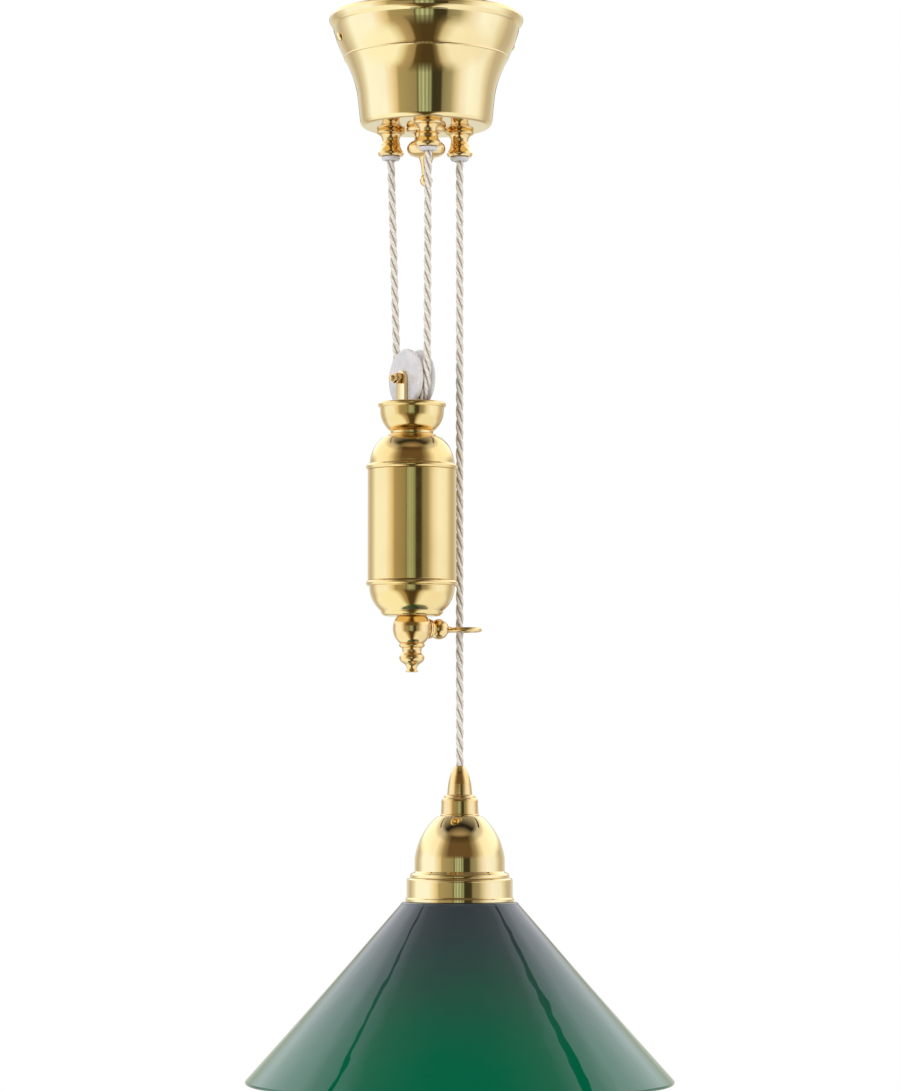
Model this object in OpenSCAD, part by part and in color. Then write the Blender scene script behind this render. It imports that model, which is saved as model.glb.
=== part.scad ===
// Rise and fall pendant: ceiling cup, counterweight on a running cord, and a lamp with a cased glass shade.
// Origin: centre of the cup's rim on the ceiling. +Z up, +X right, -Y towards the viewer. Millimetres.

/* [Ceiling cup] */
// Radius of the cup's rolled rim against the ceiling
cup_rim_r = 57; // [54:0.5:66]
// Height of the cup
cup_h = 66.5; // [58:0.5:74]
// Wall of the spun brass cup
cup_wall = 1.2; // [0.8:0.1:1.8]
// Height of the rolled rim band
cup_lip_h = 7; // [5:0.5:9]
// Step in from the rim band to the neck under it
cup_lip_inset = 2.3; // [1:0.1:3]
// Radius of the cup at its crease
cup_crease_r = 48; // [45:0.5:50]
// Drop from the ceiling to the crease
cup_crease_drop = 25.5; // [20:0.5:28]
// Radius of the cup at its waist
cup_waist_r = 40.5; // [39.5:0.5:44]
// Drop from the ceiling to the waist
cup_waist_drop = 48; // [40:0.5:52]
// Radius of the flat floor of the cup
cup_floor_r = 38.9; // [37:0.1:39.4]
// Rounding between the floor and the side
cup_edge_r = 3.4; // [1:0.1:4]

/* [Ceiling strap] */
// Width of the steel strap that is fixed to the ceiling
strap_w = 20; // [16:0.5:24]
// Thickness of the strap and its two ears
strap_t = 2.5; // [1.5:0.1:3]
// Turn of the strap, with its ears and side screws, from the X axis
strap_turn = 16.5; // [0:0.5:30]
// Circle of the two ceiling fixing holes
fixing_pcd = 51; // [46:0.5:60]
// Radius of a ceiling fixing hole
fixing_hole_r = 2.25; // [1.8:0.05:3]
// Width of an ear
ear_w = 10; // [8:0.5:12]
// Radius of the thread of a cup screw
cup_screw_r = 1.5; // [1.25:0.05:2]
// Length of a cup screw's thread
cup_screw_l = 8; // [6:0.5:10]
// Radius of a cup screw's head
cup_screw_head_r = 2.6; // [2.2:0.1:3.2]
// Drop from the ceiling to the cup screws
cup_screw_drop = 15.5; // [11:0.5:17]

/* [Cord bushings] */
// Circle that the three bushings stand on
bushing_circle_r = 23.5; // [22:0.1:26]
// Turn of the three bushings from the front
bushing_turn = 3; // [0:0.5:12]
// Radius of the flange under the cup
bushing_flange_r = 8.2; // [7.6:0.1:9.4]
// Radius of the waisted neck
bushing_neck_r = 5.6; // [5.4:0.1:7]
// Radius of the turned mouth
bushing_mouth_r = 7.5; // [6.8:0.1:9]
// Height of a bushing below the cup
bushing_h = 15.5; // [13:0.5:24]
// Radius of the thread through the cup
bushing_thread_r = 5; // [4.5:0.1:5.5]
// Height of the thread above the cup's floor
bushing_stud_h = 8.5; // [7:0.5:11]
// Across flats of a locknut
locknut_af = 13; // [12:0.5:14.5]
// Height of a locknut
locknut_h = 3.5; // [2.5:0.5:5]
// Radius of the porcelain liner's rounded tip
liner_tip_r = 5.5; // [4.8:0.1:6]
// Height of the porcelain liner's tip
liner_tip_h = 2.6; // [2:0.1:4]
// Wall of the porcelain liner inside the bushing
liner_wall = 1.2; // [0.9:0.1:1.4]

/* [Cup finial] */
// Radius of the finial's base flange
knob_flange_r = 11.5; // [9:0.1:12]
// Radius of the finial's bead
knob_bead_r = 11.3; // [9:0.1:12]
// Length of the finial below the cup
knob_h = 35.5; // [32:0.5:46]
// Radius of the thin neck right under the finial's bead
knob_neck_r = 4.6; // [4:0.1:5.4]
// Radius of the finial's threaded stud
knob_stud_r = 3; // [2.5:0.1:3]

/* [Cord] */
// Diameter of the twisted cord
cord_d = 4.4; // [3.6:0.1:5]

/* [Ceiling pulley] */
// Drop from the ceiling to the ceiling pulley's axle
ceiling_axle_drop = 28; // [27:0.5:31]
// Thickness of the ceiling pulley
ceiling_pulley_w = 10; // [9:0.5:11]
// Radius of the ceiling pulley's axle
ceiling_axle_r = 2.5; // [2:0.1:3.5]
// Thickness of the pulley bracket
bracket_t = 1.6; // [1.2:0.1:2]
// Width of the bracket's cheeks
bracket_cheek_w = 14; // [11:0.5:18]
// Width of the bracket's foot
bracket_foot_w = 20; // [16:0.5:22]
// Thickness of the bracket's foot
bracket_foot_t = 3; // [2:0.1:4]

/* [Terminals] */
// Length of the porcelain terminal block
terminal_l = 26; // [22:0.5:30]
// Width of the terminal block
terminal_w = 20; // [16:0.5:22]
// Height of the terminal block
terminal_h = 13; // [10:0.5:15]
// Radius of the collar that anchors the cord's end
anchor_r = 6; // [5:0.1:8]
// Height of the anchor collar
anchor_h = 8; // [6:0.5:10]

/* [Counterweight pulley] */
// Drop from the ceiling to the weight pulley's axle at rest
weight_axle_drop = 216.3; // [194:0.5:229]
// Radius of the cord's centre line round the weight pulley
weight_cord_r = 16.3; // [15:0.1:17]
// Thickness of the weight pulley
weight_pulley_w = 12; // [11:0.5:13]
// Radius of the weight pulley's bolt
weight_axle_r = 1.7; // [1.6:0.1:2.2]
// Distance that the guide eye draws the weight towards the lamp's cord
guide_pull = 2; // [1:0.1:4]

/* [Counterweight yoke] */
// Width of the yoke's strap
yoke_w = 9.4; // [8:0.2:12]
// Thickness of the yoke's strap
yoke_t = 2; // [1.5:0.1:2.2]
// Across flats of the yoke bolt's nut
yoke_nut_af = 6; // [5.6:0.1:8]
// Height of the nut
yoke_nut_h = 3.2; // [2.4:0.1:3.6]
// Across flats of the thin nut that locks it
yoke_jam_af = 5; // [4.8:0.1:6.5]
// Height of the thin nut
yoke_jam_h = 1.8; // [1.4:0.1:2.6]
// Bolt thread standing out of the nuts
yoke_bolt_proud = 2; // [1:0.1:4]
// Radius of the bolt's pan head
yoke_bolt_head_r = 2.6; // [2.4:0.1:3.4]
// Height of the bolt's round head
yoke_bolt_head_h = 3.1; // [2:0.1:4]
// Radius of the round cap on the bolt's head
yoke_bolt_cap_r = 2.2; // [1.8:0.1:2.3]
// Height of the round cap on the bolt's head
yoke_bolt_cap_h = 3.2; // [2.4:0.1:3.8]

/* [Counterweight body] */
// Drop from the pulley's axle to the funnel's lip
funnel_lip_drop = 13.6; // [10:0.2:16]
// Radius of the funnel's rolled lip
funnel_lip_r = 20; // [19.6:0.1:23]
// Radius of the funnel's wall under its lip
funnel_r = 18.7; // [18:0.1:19.4]
// Height of the funnel
funnel_h = 18.6; // [18:0.2:22]
// Radius of the funnel's foot
funnel_foot_r = 12.6; // [12:0.1:15]
// Radius of the weight's top ring, under the funnel
weight_ring_r = 13.9; // [13.4:0.1:15]
// Radius of the shoulder at its top
shoulder_top_r = 17.2; // [16.4:0.1:18.4]
// Radius of the barrel
barrel_r = 25.9; // [25:0.1:30]
// Height of the barrel between its two beads
barrel_h = 65; // [56:1:80]
// Height of the shoulder between its ring and its bead
shoulder_h = 18; // [14:0.2:24]
// Height of the base under its bead
base_h = 17.6; // [14:0.2:24]
// Radius of the base ring
base_ring_r = 18.2; // [16:0.1:20]
// Wall of the weight's spun brass shells
weight_wall = 1.2; // [0.8:0.1:1.6]
// How far a bead stands out from the barrel
bead_proud = 1; // [0.5:0.1:1.6]
// Height of a bead
bead_h = 3; // [2:0.2:4]
// Gap round the iron slug inside the shells
slug_gap = 0.3; // [0.2:0.05:0.8]
// Radius of the tie rod
rod_r = 3; // [2.5:0.1:3.5]

/* [Weight finial] */
// Radius of the finial's ball
ball_r = 11.2; // [10:0.1:13]
// Length of the turned tail below the ball
tail_h = 17; // [14:0.2:22]
// Radius of the tail's two beads
tail_bead_r = 7.5; // [6:0.1:8.5]

/* [Guide eye] */
// Radius of the two washers on the ball's side
washer_r = 6; // [5:0.1:6.6]
// Thickness of a washer
washer_t = 1.5; // [1:0.1:2]
// Radius of the round boss behind the eye
boss_r = 6; // [5:0.1:6.6]
// Radius of the wire of the eye
eye_wire_r = 1.35; // [1.1:0.05:1.7]
// Radius of the eye to the middle of its wire
eye_r = 9.1; // [8.2:0.1:10.5]
// Length of the neck between the boss and the eye
eye_neck_l = 1.4; // [1:0.1:1.8]

/* [Lamp] */
// Drop from the ceiling to the tip of the lamp's cord grip at rest
lamp_drop = 442; // [434:1:524]
// Height of the cord grip's cone
grip_h = 17; // [14:0.5:22]
// Radius of the cone's foot
grip_foot_r = 7.5; // [7:0.1:8.4]
// Height of the stepped collar
collar_h = 12.6; // [10:0.2:16]
// Radius of the stepped collar
collar_r = 11.1; // [10.4:0.1:12.6]
// Radius of the dome's flat top
dome_top_r = 13.7; // [13:0.1:15]
// Radius of the dome
dome_r = 26.5; // [25:0.1:28]
// Height of the dome
dome_h = 36; // [34:0.5:42]
// Wall of the dome and the gallery
lamp_wall = 1.2; // [0.8:0.1:1.6]
// Radius of the gallery ring
gallery_r = 31.1; // [30:0.1:34]
// Height of the gallery ring
gallery_h = 13.8; // [12:0.2:18]

/* [Shade] */
// Radius of the shade's flat top
shade_top_r = 34.8; // [34:0.1:42]
// Radius of the shade's mouth
shade_mouth_r = 125; // [110:1:150]
// Height of the shade
shade_h = 105.5; // [90:0.5:120]
// Thickness of the cased glass
shade_wall = 3; // [2.6:0.1:4]
// Radius of the hole in the shade's top
shade_hole_r = 21; // [20.4:0.1:21.6]

/* [Lampholder] */
// Radius of the threaded nipple
nipple_r = 5; // [4.6:0.1:5.2]
// Radius of the nipple's bore
nipple_bore_r = 3.2; // [2.9:0.1:3.6]
// Length of the nipple's thread inside the cord grip
nipple_in_grip = 8; // [6:0.5:10]
// Width across flats of the nut on the nipple
nipple_nut_af = 14; // [12.5:0.5:16]
// Height of the nut on the nipple
nipple_nut_h = 3; // [2:0.5:4]
// Radius of the lampholder's cap
holder_cap_r = 18; // [17.5:0.1:19]
// Wall of the lampholder's cap
holder_cap_wall = 1.4; // [1:0.1:1.8]
// Height of the cap's hub round the nipple
holder_hub_h = 8; // [7:0.5:9]
// Height of the cap's rounded shoulder
holder_dome_h = 7; // [6:0.5:8]
// Radius of the lampholder's threaded barrel
holder_r = 19.2; // [18.6:0.1:19.8]
// Height of the barrel below the shade's top
holder_below = 30; // [24:0.5:36]
// Radius of the lamp socket's thread
socket_r = 13.3; // [13.2:0.05:13.6]
// Depth of the lamp socket
socket_depth = 26; // [22:0.5:30]
// Radius of the shade ring
shade_ring_r = 26; // [24:0.5:29]
// Height of the shade ring
shade_ring_h = 5; // [4:0.5:8]

/* [Clearances] */
// Gap of a shaft in its bore
run_gap = 0.08; // [0.05:0.01:0.1]
// Gap of a thread in its hole
thread_gap = 0.05; // [0.03:0.01:0.1]
// Gap between two seated surfaces
seat_gap = 0.1; // [0.05:0.05:0.2]
// Gap between the cord and what it touches
cord_gap = 0.3; // [0.2:0.05:0.5]
// Side gap between a pulley and its cheeks
side_gap = 0.3; // [0.2:0.05:0.5]

/* [Hidden] */

polished_brass = "#d8b45c";
turned_brass = "#cf9a3a";
porcelain = "#eeece6";
steel = "#b9bbbd";
iron = "#4a4a4c";
cord_cream = "#e9e2d2";
cased_green = "#0a5a3c";

$fn = 96;
fine = 48;
arc_n = 8;

// Directions in plan: along the front-to-right pulley, along the left-to-front pulley, and their axles.
function at(a, r) = [r * cos(a), r * sin(a)];
function lerp(a, b, t) = a + (b - a) * t;

front_a = -90 + bushing_turn;
right_a = front_a + 120;
left_a = front_a + 240;
front_p = at(front_a, bushing_circle_r);
right_p = at(right_a, bushing_circle_r);
left_p = at(left_a, bushing_circle_r);
ceiling_pulley_p = (front_p + right_p) / 2;
ceiling_pulley_a = front_a + 60;
weight_axle_a = right_a;
weight_p = (left_p + front_p) / 2 + at(weight_axle_a, guide_pull);
weight_run_a = weight_axle_a - 90;
lamp_p = right_p;
lamp_reach = norm(lamp_p - weight_p);

cord_r = cord_d / 2;
liner_bore_r = cord_r + cord_gap + 0.2;
ceiling_cord_r = bushing_circle_r * sin(60);
ceiling_flange_r = ceiling_cord_r + 2.1;
weight_flange_r = weight_cord_r + 1.2;

// Heights down the lamp, from its cord grip to the lamp socket
grip_foot_z = -lamp_drop - grip_h;
dome_top_z = grip_foot_z - collar_h;
dome_foot_z = dome_top_z - dome_h;
shade_top_z = dome_foot_z - gallery_h - seat_gap;
plate_foot_z = shade_top_z - shade_wall;
holder_mouth_z = shade_top_z - holder_below;
socket_floor_z = holder_mouth_z + socket_depth;

// Heights down the counterweight
axle_z = -weight_axle_drop;
lip_z = axle_z - funnel_lip_drop;
funnel_foot_z = lip_z - funnel_h;
bead_top_z = funnel_foot_z - shoulder_h;
barrel_top_z = bead_top_z - bead_h;
barrel_foot_z = barrel_top_z - barrel_h;
base_top_z = barrel_foot_z - bead_h;
base_foot_z = base_top_z - base_h;
ball_z = base_foot_z - ball_r * 0.64;
tail_foot_z = ball_z - ball_r * 0.76 - tail_h;

cup_neck_r = cup_rim_r - cup_lip_inset;
cup_neck_drop = cup_lip_h + 2;
liner_tip_z = -cup_h - bushing_h - liner_tip_h;

// Points of an arc from p to q that bulges by sag to the left of the way from p to q.
function arc(p, q, sag, n = arc_n) =
    let (
        half = norm(q - p) / 2,
        r = (half * half + sag * sag) / (2 * abs(sag)),
        dir = (q - p) / (2 * half),
        left = [-dir[1], dir[0]] * sign(sag),
        c = (p + q) / 2 - left * (r - abs(sag)),
        sweep = 4 * atan(abs(sag) / half)
    )
    [for (i = [0:n]) let (a = -sweep / 2 + sweep * i / n) c + left * r * cos(a) + dir * r * sin(a)];

// Radius of the cup's side between its neck and its crease
function cup_side_r(drop) =
    lerp(cup_neck_r, cup_crease_r, (drop - cup_neck_drop) / (cup_crease_drop - cup_neck_drop));

module turned(points) {
    rotate_extrude() polygon(points);
}

module tube(r_out, r_in, z_top, z_foot) {
    difference() {
        translate([0, 0, z_foot]) cylinder(r = r_out, h = z_top - z_foot);
        translate([0, 0, z_foot - 1]) cylinder(r = r_in, h = z_top - z_foot + 2);
    }
}

module hex_nut(af, h, bore_r) {
    difference() {
        cylinder(r = af / sqrt(3), h = h, $fn = 6);
        translate([0, 0, -1]) cylinder(r = bore_r, h = h + 2, $fn = fine);
    }
}

module rod_between(p, q, r) {
    v = q - p;
    translate(p)
        rotate([0, acos(v[2] / norm(v)), atan2(v[1], v[0])])
            cylinder(r = r, h = norm(v), $fn = fine);
}

// Wheel with a round groove; its axle lies along X
module grooved_wheel(flange_r, cord_centre_r, width, bore_r) {
    groove = cord_r + cord_gap;
    crest = width * 0.37;
    side = width / 2;
    shoulder = flange_r - width * 0.2;
    rotate([0, 90, 0])
        turned(concat(
            [[bore_r, -side]],
            arc([shoulder, -side], [flange_r, -crest], -0.5),
            arc([flange_r, -crest + 0.3], [flange_r - 0.5, -groove - 0.6], -0.1, 3),
            arc([cord_centre_r, -groove], [cord_centre_r, groove], groove, 16),
            arc([flange_r - 0.5, groove + 0.6], [flange_r, crest - 0.3], -0.1, 3),
            arc([flange_r, crest], [shoulder, side], -0.5),
            [[bore_r, side]]
        ));
}

// Half turn of cord round a wheel whose axle lies along X; over the top, or under it
module half_turn(centre_r, over) {
    rotate([0, 90, 0]) rotate(over ? 90 : -90)
        rotate_extrude(angle = 180) translate([centre_r, 0]) circle(r = cord_r, $fn = fine);
}

module at_ceiling_pulley() {
    translate([ceiling_pulley_p[0], ceiling_pulley_p[1], -ceiling_axle_drop])
        rotate(ceiling_pulley_a) children();
}

module at_weight_pulley() {
    translate([weight_p[0], weight_p[1], axle_z]) rotate(weight_axle_a) children();
}

module at_weight() {
    translate([weight_p[0], weight_p[1], 0]) children();
}

module at_lamp() {
    translate([lamp_p[0], lamp_p[1], 0]) children();
}

// ---- Ceiling cup and what it is fixed to ----

ear_drop = cup_screw_drop + 4;
ear_face = cup_side_r(ear_drop) - cup_wall - 0.8;
head_lift = cup_wall * 0.25;
screw_lean = atan((cup_neck_r - cup_crease_r) / (cup_crease_drop - cup_neck_drop));

module at_cup_screw(i) {
    rotate(strap_turn + 180 * i)
        translate([cup_side_r(cup_screw_drop) + 0.5, 0, -cup_screw_drop])
            rotate([0, 90 + screw_lean, 0]) children();
}

module ceiling_strap() {
    color(steel) difference() {
        rotate(strap_turn) {
            translate([-ear_face, -strap_w / 2, -strap_t]) cube([2 * ear_face, strap_w, strap_t]);
            for (side = [0, 1]) mirror([side, 0, 0])
                translate([ear_face - strap_t, -ear_w / 2, -ear_drop]) cube([strap_t, ear_w, ear_drop]);
        }
        for (i = [0, 1]) {
            rotate(strap_turn + 180 * i) translate([fixing_pcd / 2, 0, -strap_t - 1])
                cylinder(r = fixing_hole_r, h = strap_t + 2, $fn = fine);
            at_cup_screw(i) translate([0, 0, -1.5 * cup_screw_l])
                cylinder(r = cup_screw_r + thread_gap, h = 1.75 * cup_screw_l, $fn = fine);
            rotate(strap_turn) translate([terminal_mid + terminal_l * 0.5 * (i - 0.5), terminal_screw_v, -strap_t - 1])
                cylinder(r = terminal_screw_r + thread_gap, h = strap_t + 2, $fn = fine);
        }
    }
}

// Outline of the cup, shifted inwards by the wall for its inside
function cup_side(inset) = [
    for (p = concat(
        [[cup_rim_r - 0.6, 0]],
        arc([cup_rim_r, -1.4], [cup_neck_r, -cup_lip_h], 1.1),
        [[cup_neck_r, -cup_neck_drop]],
        arc([cup_neck_r, -cup_neck_drop], [cup_crease_r, -cup_crease_drop], 0.5),
        arc([cup_crease_r, -cup_crease_drop], [cup_waist_r, -cup_waist_drop], -1.05)
    )) [p[0] - inset, p[1]]
];

module ceiling_cup() {
    inner_floor = -cup_h + cup_wall;
    color(polished_brass) difference() {
        turned(concat(
            [[0, 0]],
            cup_side(0),
            arc([cup_floor_r, -cup_h + cup_edge_r], [cup_floor_r - cup_edge_r, -cup_h], cup_edge_r * 0.29),
            [[0, -cup_h]]
        ));
        turned(concat(
            [[0, 1], [cup_rim_r - 0.6 - cup_wall, 1]],
            cup_side(cup_wall),
            [[cup_floor_r - cup_wall, inner_floor + cup_edge_r], [cup_floor_r - cup_edge_r, inner_floor],
             [0, inner_floor]]
        ));
        for (p = [front_p, right_p, left_p]) translate([p[0], p[1], -cup_h - 1])
            cylinder(r = bushing_thread_r + seat_gap, h = cup_wall + 2, $fn = fine);
        translate([0, 0, -cup_h - 1]) cylinder(r = knob_stud_r + seat_gap, h = cup_wall + 2, $fn = fine);
        for (i = [0, 1]) at_cup_screw(i)
            translate([0, 0, -cup_screw_l]) cylinder(r = cup_screw_r + seat_gap, h = cup_screw_l + 2, $fn = fine);
    }
}

module cup_screws() {
    color(polished_brass) for (i = [0, 1]) at_cup_screw(i) {
        translate([0, 0, -cup_screw_l]) cylinder(r = cup_screw_r, h = cup_screw_l + head_lift + 0.1, $fn = fine);
        translate([0, 0, head_lift]) turned(concat(
            [[0, 0], [cup_screw_head_r, 0]],
            arc([cup_screw_head_r, head_lift * 2], [0, head_lift * 6], -head_lift * 1.3)
        ));
    }
}

// ---- Cord bushings in the cup's floor ----

module bushing() {
    bore = liner_bore_r + liner_wall + seat_gap;
    top = cup_wall + bushing_stud_h;
    color(turned_brass) difference() {
        turned(concat(
            [[0, top], [bushing_thread_r - 0.5, top], [bushing_thread_r, top - 0.5], [bushing_thread_r, 0],
             [bushing_flange_r, 0]],
            arc([bushing_flange_r, -0.3], [bushing_flange_r, -2.1], 0.3),
            arc([bushing_flange_r - 1, -2.6], [bushing_neck_r, -bushing_h * 0.53], -1.2),
            arc([bushing_neck_r, -bushing_h * 0.53], [bushing_mouth_r - 0.4, -bushing_h + 3.2], -0.4),
            arc([bushing_mouth_r - 0.2, -bushing_h + 2.8], [bushing_mouth_r - 0.6, -bushing_h], 0.5),
            [[0, -bushing_h]]
        ));
        translate([0, 0, -bushing_h - 1]) cylinder(r = bore, h = bushing_h + top + 2, $fn = fine);
    }
}

module at_bushing(p) {
    translate([p[0], p[1], -cup_h]) children();
}

module front_bushing() {
    at_bushing(front_p) bushing();
}

module right_bushing() {
    at_bushing(right_p) bushing();
}

module left_bushing() {
    at_bushing(left_p) bushing();
}

module liner() {
    shank_r = liner_bore_r + liner_wall;
    top = cup_wall + bushing_stud_h;
    color(porcelain) difference() {
        turned(concat(
            [[0, top], [shank_r, top], [shank_r, -bushing_h - seat_gap], [liner_tip_r - 0.2, -bushing_h - seat_gap]],
            arc([liner_tip_r, -bushing_h - 0.5], [liner_bore_r + 0.6, -bushing_h - liner_tip_h], 0.8),
            [[0, -bushing_h - liner_tip_h]]
        ));
        translate([0, 0, -bushing_h - liner_tip_h - 1])
            cylinder(r = liner_bore_r, h = bushing_h + liner_tip_h + top + 2, $fn = fine);
    }
}

module front_liner() {
    at_bushing(front_p) liner();
}

module right_liner() {
    at_bushing(right_p) liner();
}

module left_liner() {
    at_bushing(left_p) liner();
}

module bushing_locknuts() {
    color(polished_brass) for (p = [front_p, right_p, left_p]) at_bushing(p)
        translate([0, 0, cup_wall]) hex_nut(locknut_af, locknut_h, bushing_thread_r + thread_gap);
}

module cup_finial() {
    bead_z = -knob_h * 0.36;
    cove_z = -knob_h * 0.17;
    color(turned_brass) translate([0, 0, -cup_h]) turned(concat(
        [[0, cup_wall + bracket_foot_t + 2], [knob_stud_r, cup_wall + bracket_foot_t + 2], [knob_stud_r, 0],
         [knob_flange_r - 0.3, 0]],
        arc([knob_flange_r, -0.4], [knob_flange_r - 0.4, -3], 0.4),
        arc([knob_flange_r - 2, -3.4], [6.6, cove_z], -0.8),
        arc([6.6, cove_z], [knob_bead_r - 2.6, bead_z + 4], -0.5),
        arc([knob_bead_r - 2.2, bead_z + 3.8], [knob_bead_r - 2.2, bead_z - 3.8], 2.2),
        arc([knob_bead_r - 2.9, bead_z - 4], [knob_neck_r, bead_z - 5], 0.25),
        arc([knob_neck_r - 0.2, bead_z - 5.4], [knob_neck_r - 1.9, -knob_h * 0.795], -0.5),
        arc([knob_neck_r - 2, -knob_h * 0.805], [0, -knob_h], 2.35)
    ));
}

// ---- Pulley bracket and pulley inside the cup ----

cheek_in = ceiling_pulley_w / 2 + side_gap;
cheek_out = cheek_in + bracket_t;
foot_top = -cup_h + cup_wall + bracket_foot_t;

module pulley_bracket() {
    pulley_reach = norm(ceiling_pulley_p);
    color(steel) difference() {
        union() {
            at_ceiling_pulley() {
                for (side = [0, 1]) mirror([side, 0, 0]) translate([cheek_in, 0, 0]) {
                    rotate([0, 90, 0]) cylinder(r = bracket_cheek_w / 2, h = bracket_t, $fn = fine);
                    translate([0, -bracket_cheek_w / 2, foot_top + ceiling_axle_drop - 1])
                        cube([bracket_t, bracket_cheek_w, -foot_top - ceiling_axle_drop + 1]);
                }
            }
            rotate(ceiling_pulley_a)
                translate([-8, -bracket_foot_w / 2, foot_top - bracket_foot_t])
                    cube([pulley_reach + cheek_out + 8, bracket_foot_w, bracket_foot_t]);
        }
        at_ceiling_pulley() translate([-cheek_out - 1, 0, 0]) rotate([0, 90, 0])
            cylinder(r = ceiling_axle_r + thread_gap, h = 2 * cheek_out + 2, $fn = fine);
        translate([0, 0, -cup_h]) cylinder(r = knob_stud_r + thread_gap, h = cup_wall + 3 * bracket_foot_t, $fn = fine);
    }
}

module ceiling_pulley() {
    color(porcelain) at_ceiling_pulley()
        grooved_wheel(ceiling_flange_r, ceiling_cord_r, ceiling_pulley_w, ceiling_axle_r + run_gap);
}

module ceiling_axle() {
    color(steel) at_ceiling_pulley() rotate([0, 90, 0]) {
        translate([0, 0, -cheek_out]) cylinder(r = ceiling_axle_r, h = 2 * cheek_out + 4, $fn = fine);
        translate([0, 0, -cheek_out - 1.8]) cylinder(r = ceiling_axle_r + 1.6, h = 1.8, $fn = fine);
    }
}

module ceiling_axle_nut() {
    color(steel) at_ceiling_pulley() translate([cheek_out, 0, 0]) rotate([0, 90, 0])
        hex_nut(8, 3, ceiling_axle_r + thread_gap);
}

// ---- Terminals and the fixed end of the cord ----

// The block lies under the strap's edge; its middle is near the left bushing, in the strap's own axes
left_in_strap = [
    left_p[0] * cos(strap_turn) + left_p[1] * sin(strap_turn),
    -left_p[0] * sin(strap_turn) + left_p[1] * cos(strap_turn)
];
terminal_mid = left_in_strap[0] - 3;
terminal_v = strap_w / 2 - 5.5 + terminal_w / 2;
terminal_screw_v = strap_w / 2 - 3.5;
terminal_screw_r = 1.5;
terminal_foot_z = -strap_t - terminal_h;

module terminal_block() {
    color(porcelain) difference() {
        rotate(strap_turn) translate([terminal_mid - terminal_l / 2, terminal_v - terminal_w / 2, terminal_foot_z])
            cube([terminal_l, terminal_w, terminal_h]);
        translate([left_p[0], left_p[1], terminal_foot_z - 1])
            cylinder(r = cord_r + cord_gap, h = 6, $fn = fine);
        for (i = [0, 1]) rotate(strap_turn) {
            translate([terminal_mid + terminal_l * 0.5 * (i - 0.5), terminal_screw_v, terminal_foot_z - 1])
                cylinder(r = terminal_screw_r + thread_gap, h = terminal_h + 2, $fn = fine);
            translate([terminal_mid + terminal_l * 0.56 * (i - 0.5), terminal_v + terminal_w * 0.32, terminal_foot_z - 1])
                cylinder(r = 1.6 + thread_gap, h = 8, $fn = fine);
        }
    }
}

module terminal_screws() {
    color(polished_brass) for (i = [0, 1]) rotate(strap_turn) {
        translate([terminal_mid + terminal_l * 0.5 * (i - 0.5), terminal_screw_v, terminal_foot_z]) {
            cylinder(r = terminal_screw_r, h = terminal_h + strap_t - 0.2, $fn = fine);
            translate([0, 0, -1.6]) cylinder(r = 2.6, h = 1.6, $fn = fine);
        }
        translate([terminal_mid + terminal_l * 0.56 * (i - 0.5), terminal_v + terminal_w * 0.32, terminal_foot_z]) {
            cylinder(r = 1.6, h = 6.5, $fn = fine);
            translate([0, 0, -1.2]) cylinder(r = 2.3, h = 1.2, $fn = fine);
        }
    }
}

anchor_foot_z = -cup_h + cup_wall + bushing_stud_h + seat_gap;

module cord_anchor() {
    color(polished_brass) translate([left_p[0], left_p[1], 0]) difference() {
        tube(anchor_r, cord_r + 0.1, anchor_foot_z + anchor_h, anchor_foot_z);
        translate([0, 0, anchor_foot_z + anchor_h / 2]) rotate([0, 90, left_a])
            cylinder(r = 1.5 + thread_gap, h = anchor_r + 1, $fn = fine);
    }
}

module anchor_screw() {
    color(steel) translate([left_p[0], left_p[1], anchor_foot_z + anchor_h / 2]) rotate([0, 90, left_a])
        translate([0, 0, cord_r + 0.2]) {
            cylinder(r = 1.5, h = anchor_r - cord_r, $fn = fine);
            translate([0, 0, anchor_r - cord_r]) cylinder(r = 2.6, h = 1.6, $fn = fine);
        }
}

// ---- Cord ----

// A stretch that hangs straight through its bushing, then runs to the weight pulley
module running_cord(p, top_z, side) {
    end_p = weight_p + at(weight_run_a, weight_cord_r * side);
    bend = [p[0], p[1], liner_tip_z];
    color(cord_cream) {
        rod_between([p[0], p[1], top_z], bend, cord_r);
        translate(bend) sphere(r = cord_r, $fn = fine);
        rod_between(bend, [end_p[0], end_p[1], axle_z + cord_gap], cord_r);
    }
}

module left_cord() {
    running_cord(left_p, terminal_foot_z + 4, -1);
}

module front_cord() {
    running_cord(front_p, -ceiling_axle_drop, 1);
}

module lamp_cord() {
    color(cord_cream) at_lamp()
        translate([0, 0, holder_cap_z + 2]) cylinder(r = cord_r, h = -ceiling_axle_drop - holder_cap_z - 2, $fn = fine);
}

module cord_over_ceiling_pulley() {
    color(cord_cream) at_ceiling_pulley() half_turn(ceiling_cord_r, true);
}

module cord_under_weight_pulley() {
    color(cord_cream) at_weight_pulley() half_turn(weight_cord_r, false);
}

// ---- Counterweight ----

yoke_in = weight_pulley_w / 2 + side_gap;
yoke_out = yoke_in + yoke_t;
funnel_floor_t = 1.8;
yoke_foot_z = funnel_foot_z + funnel_floor_t;

module weight_pulley() {
    color(porcelain) at_weight_pulley()
        grooved_wheel(weight_flange_r, weight_cord_r, weight_pulley_w, weight_axle_r + run_gap);
}

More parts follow.
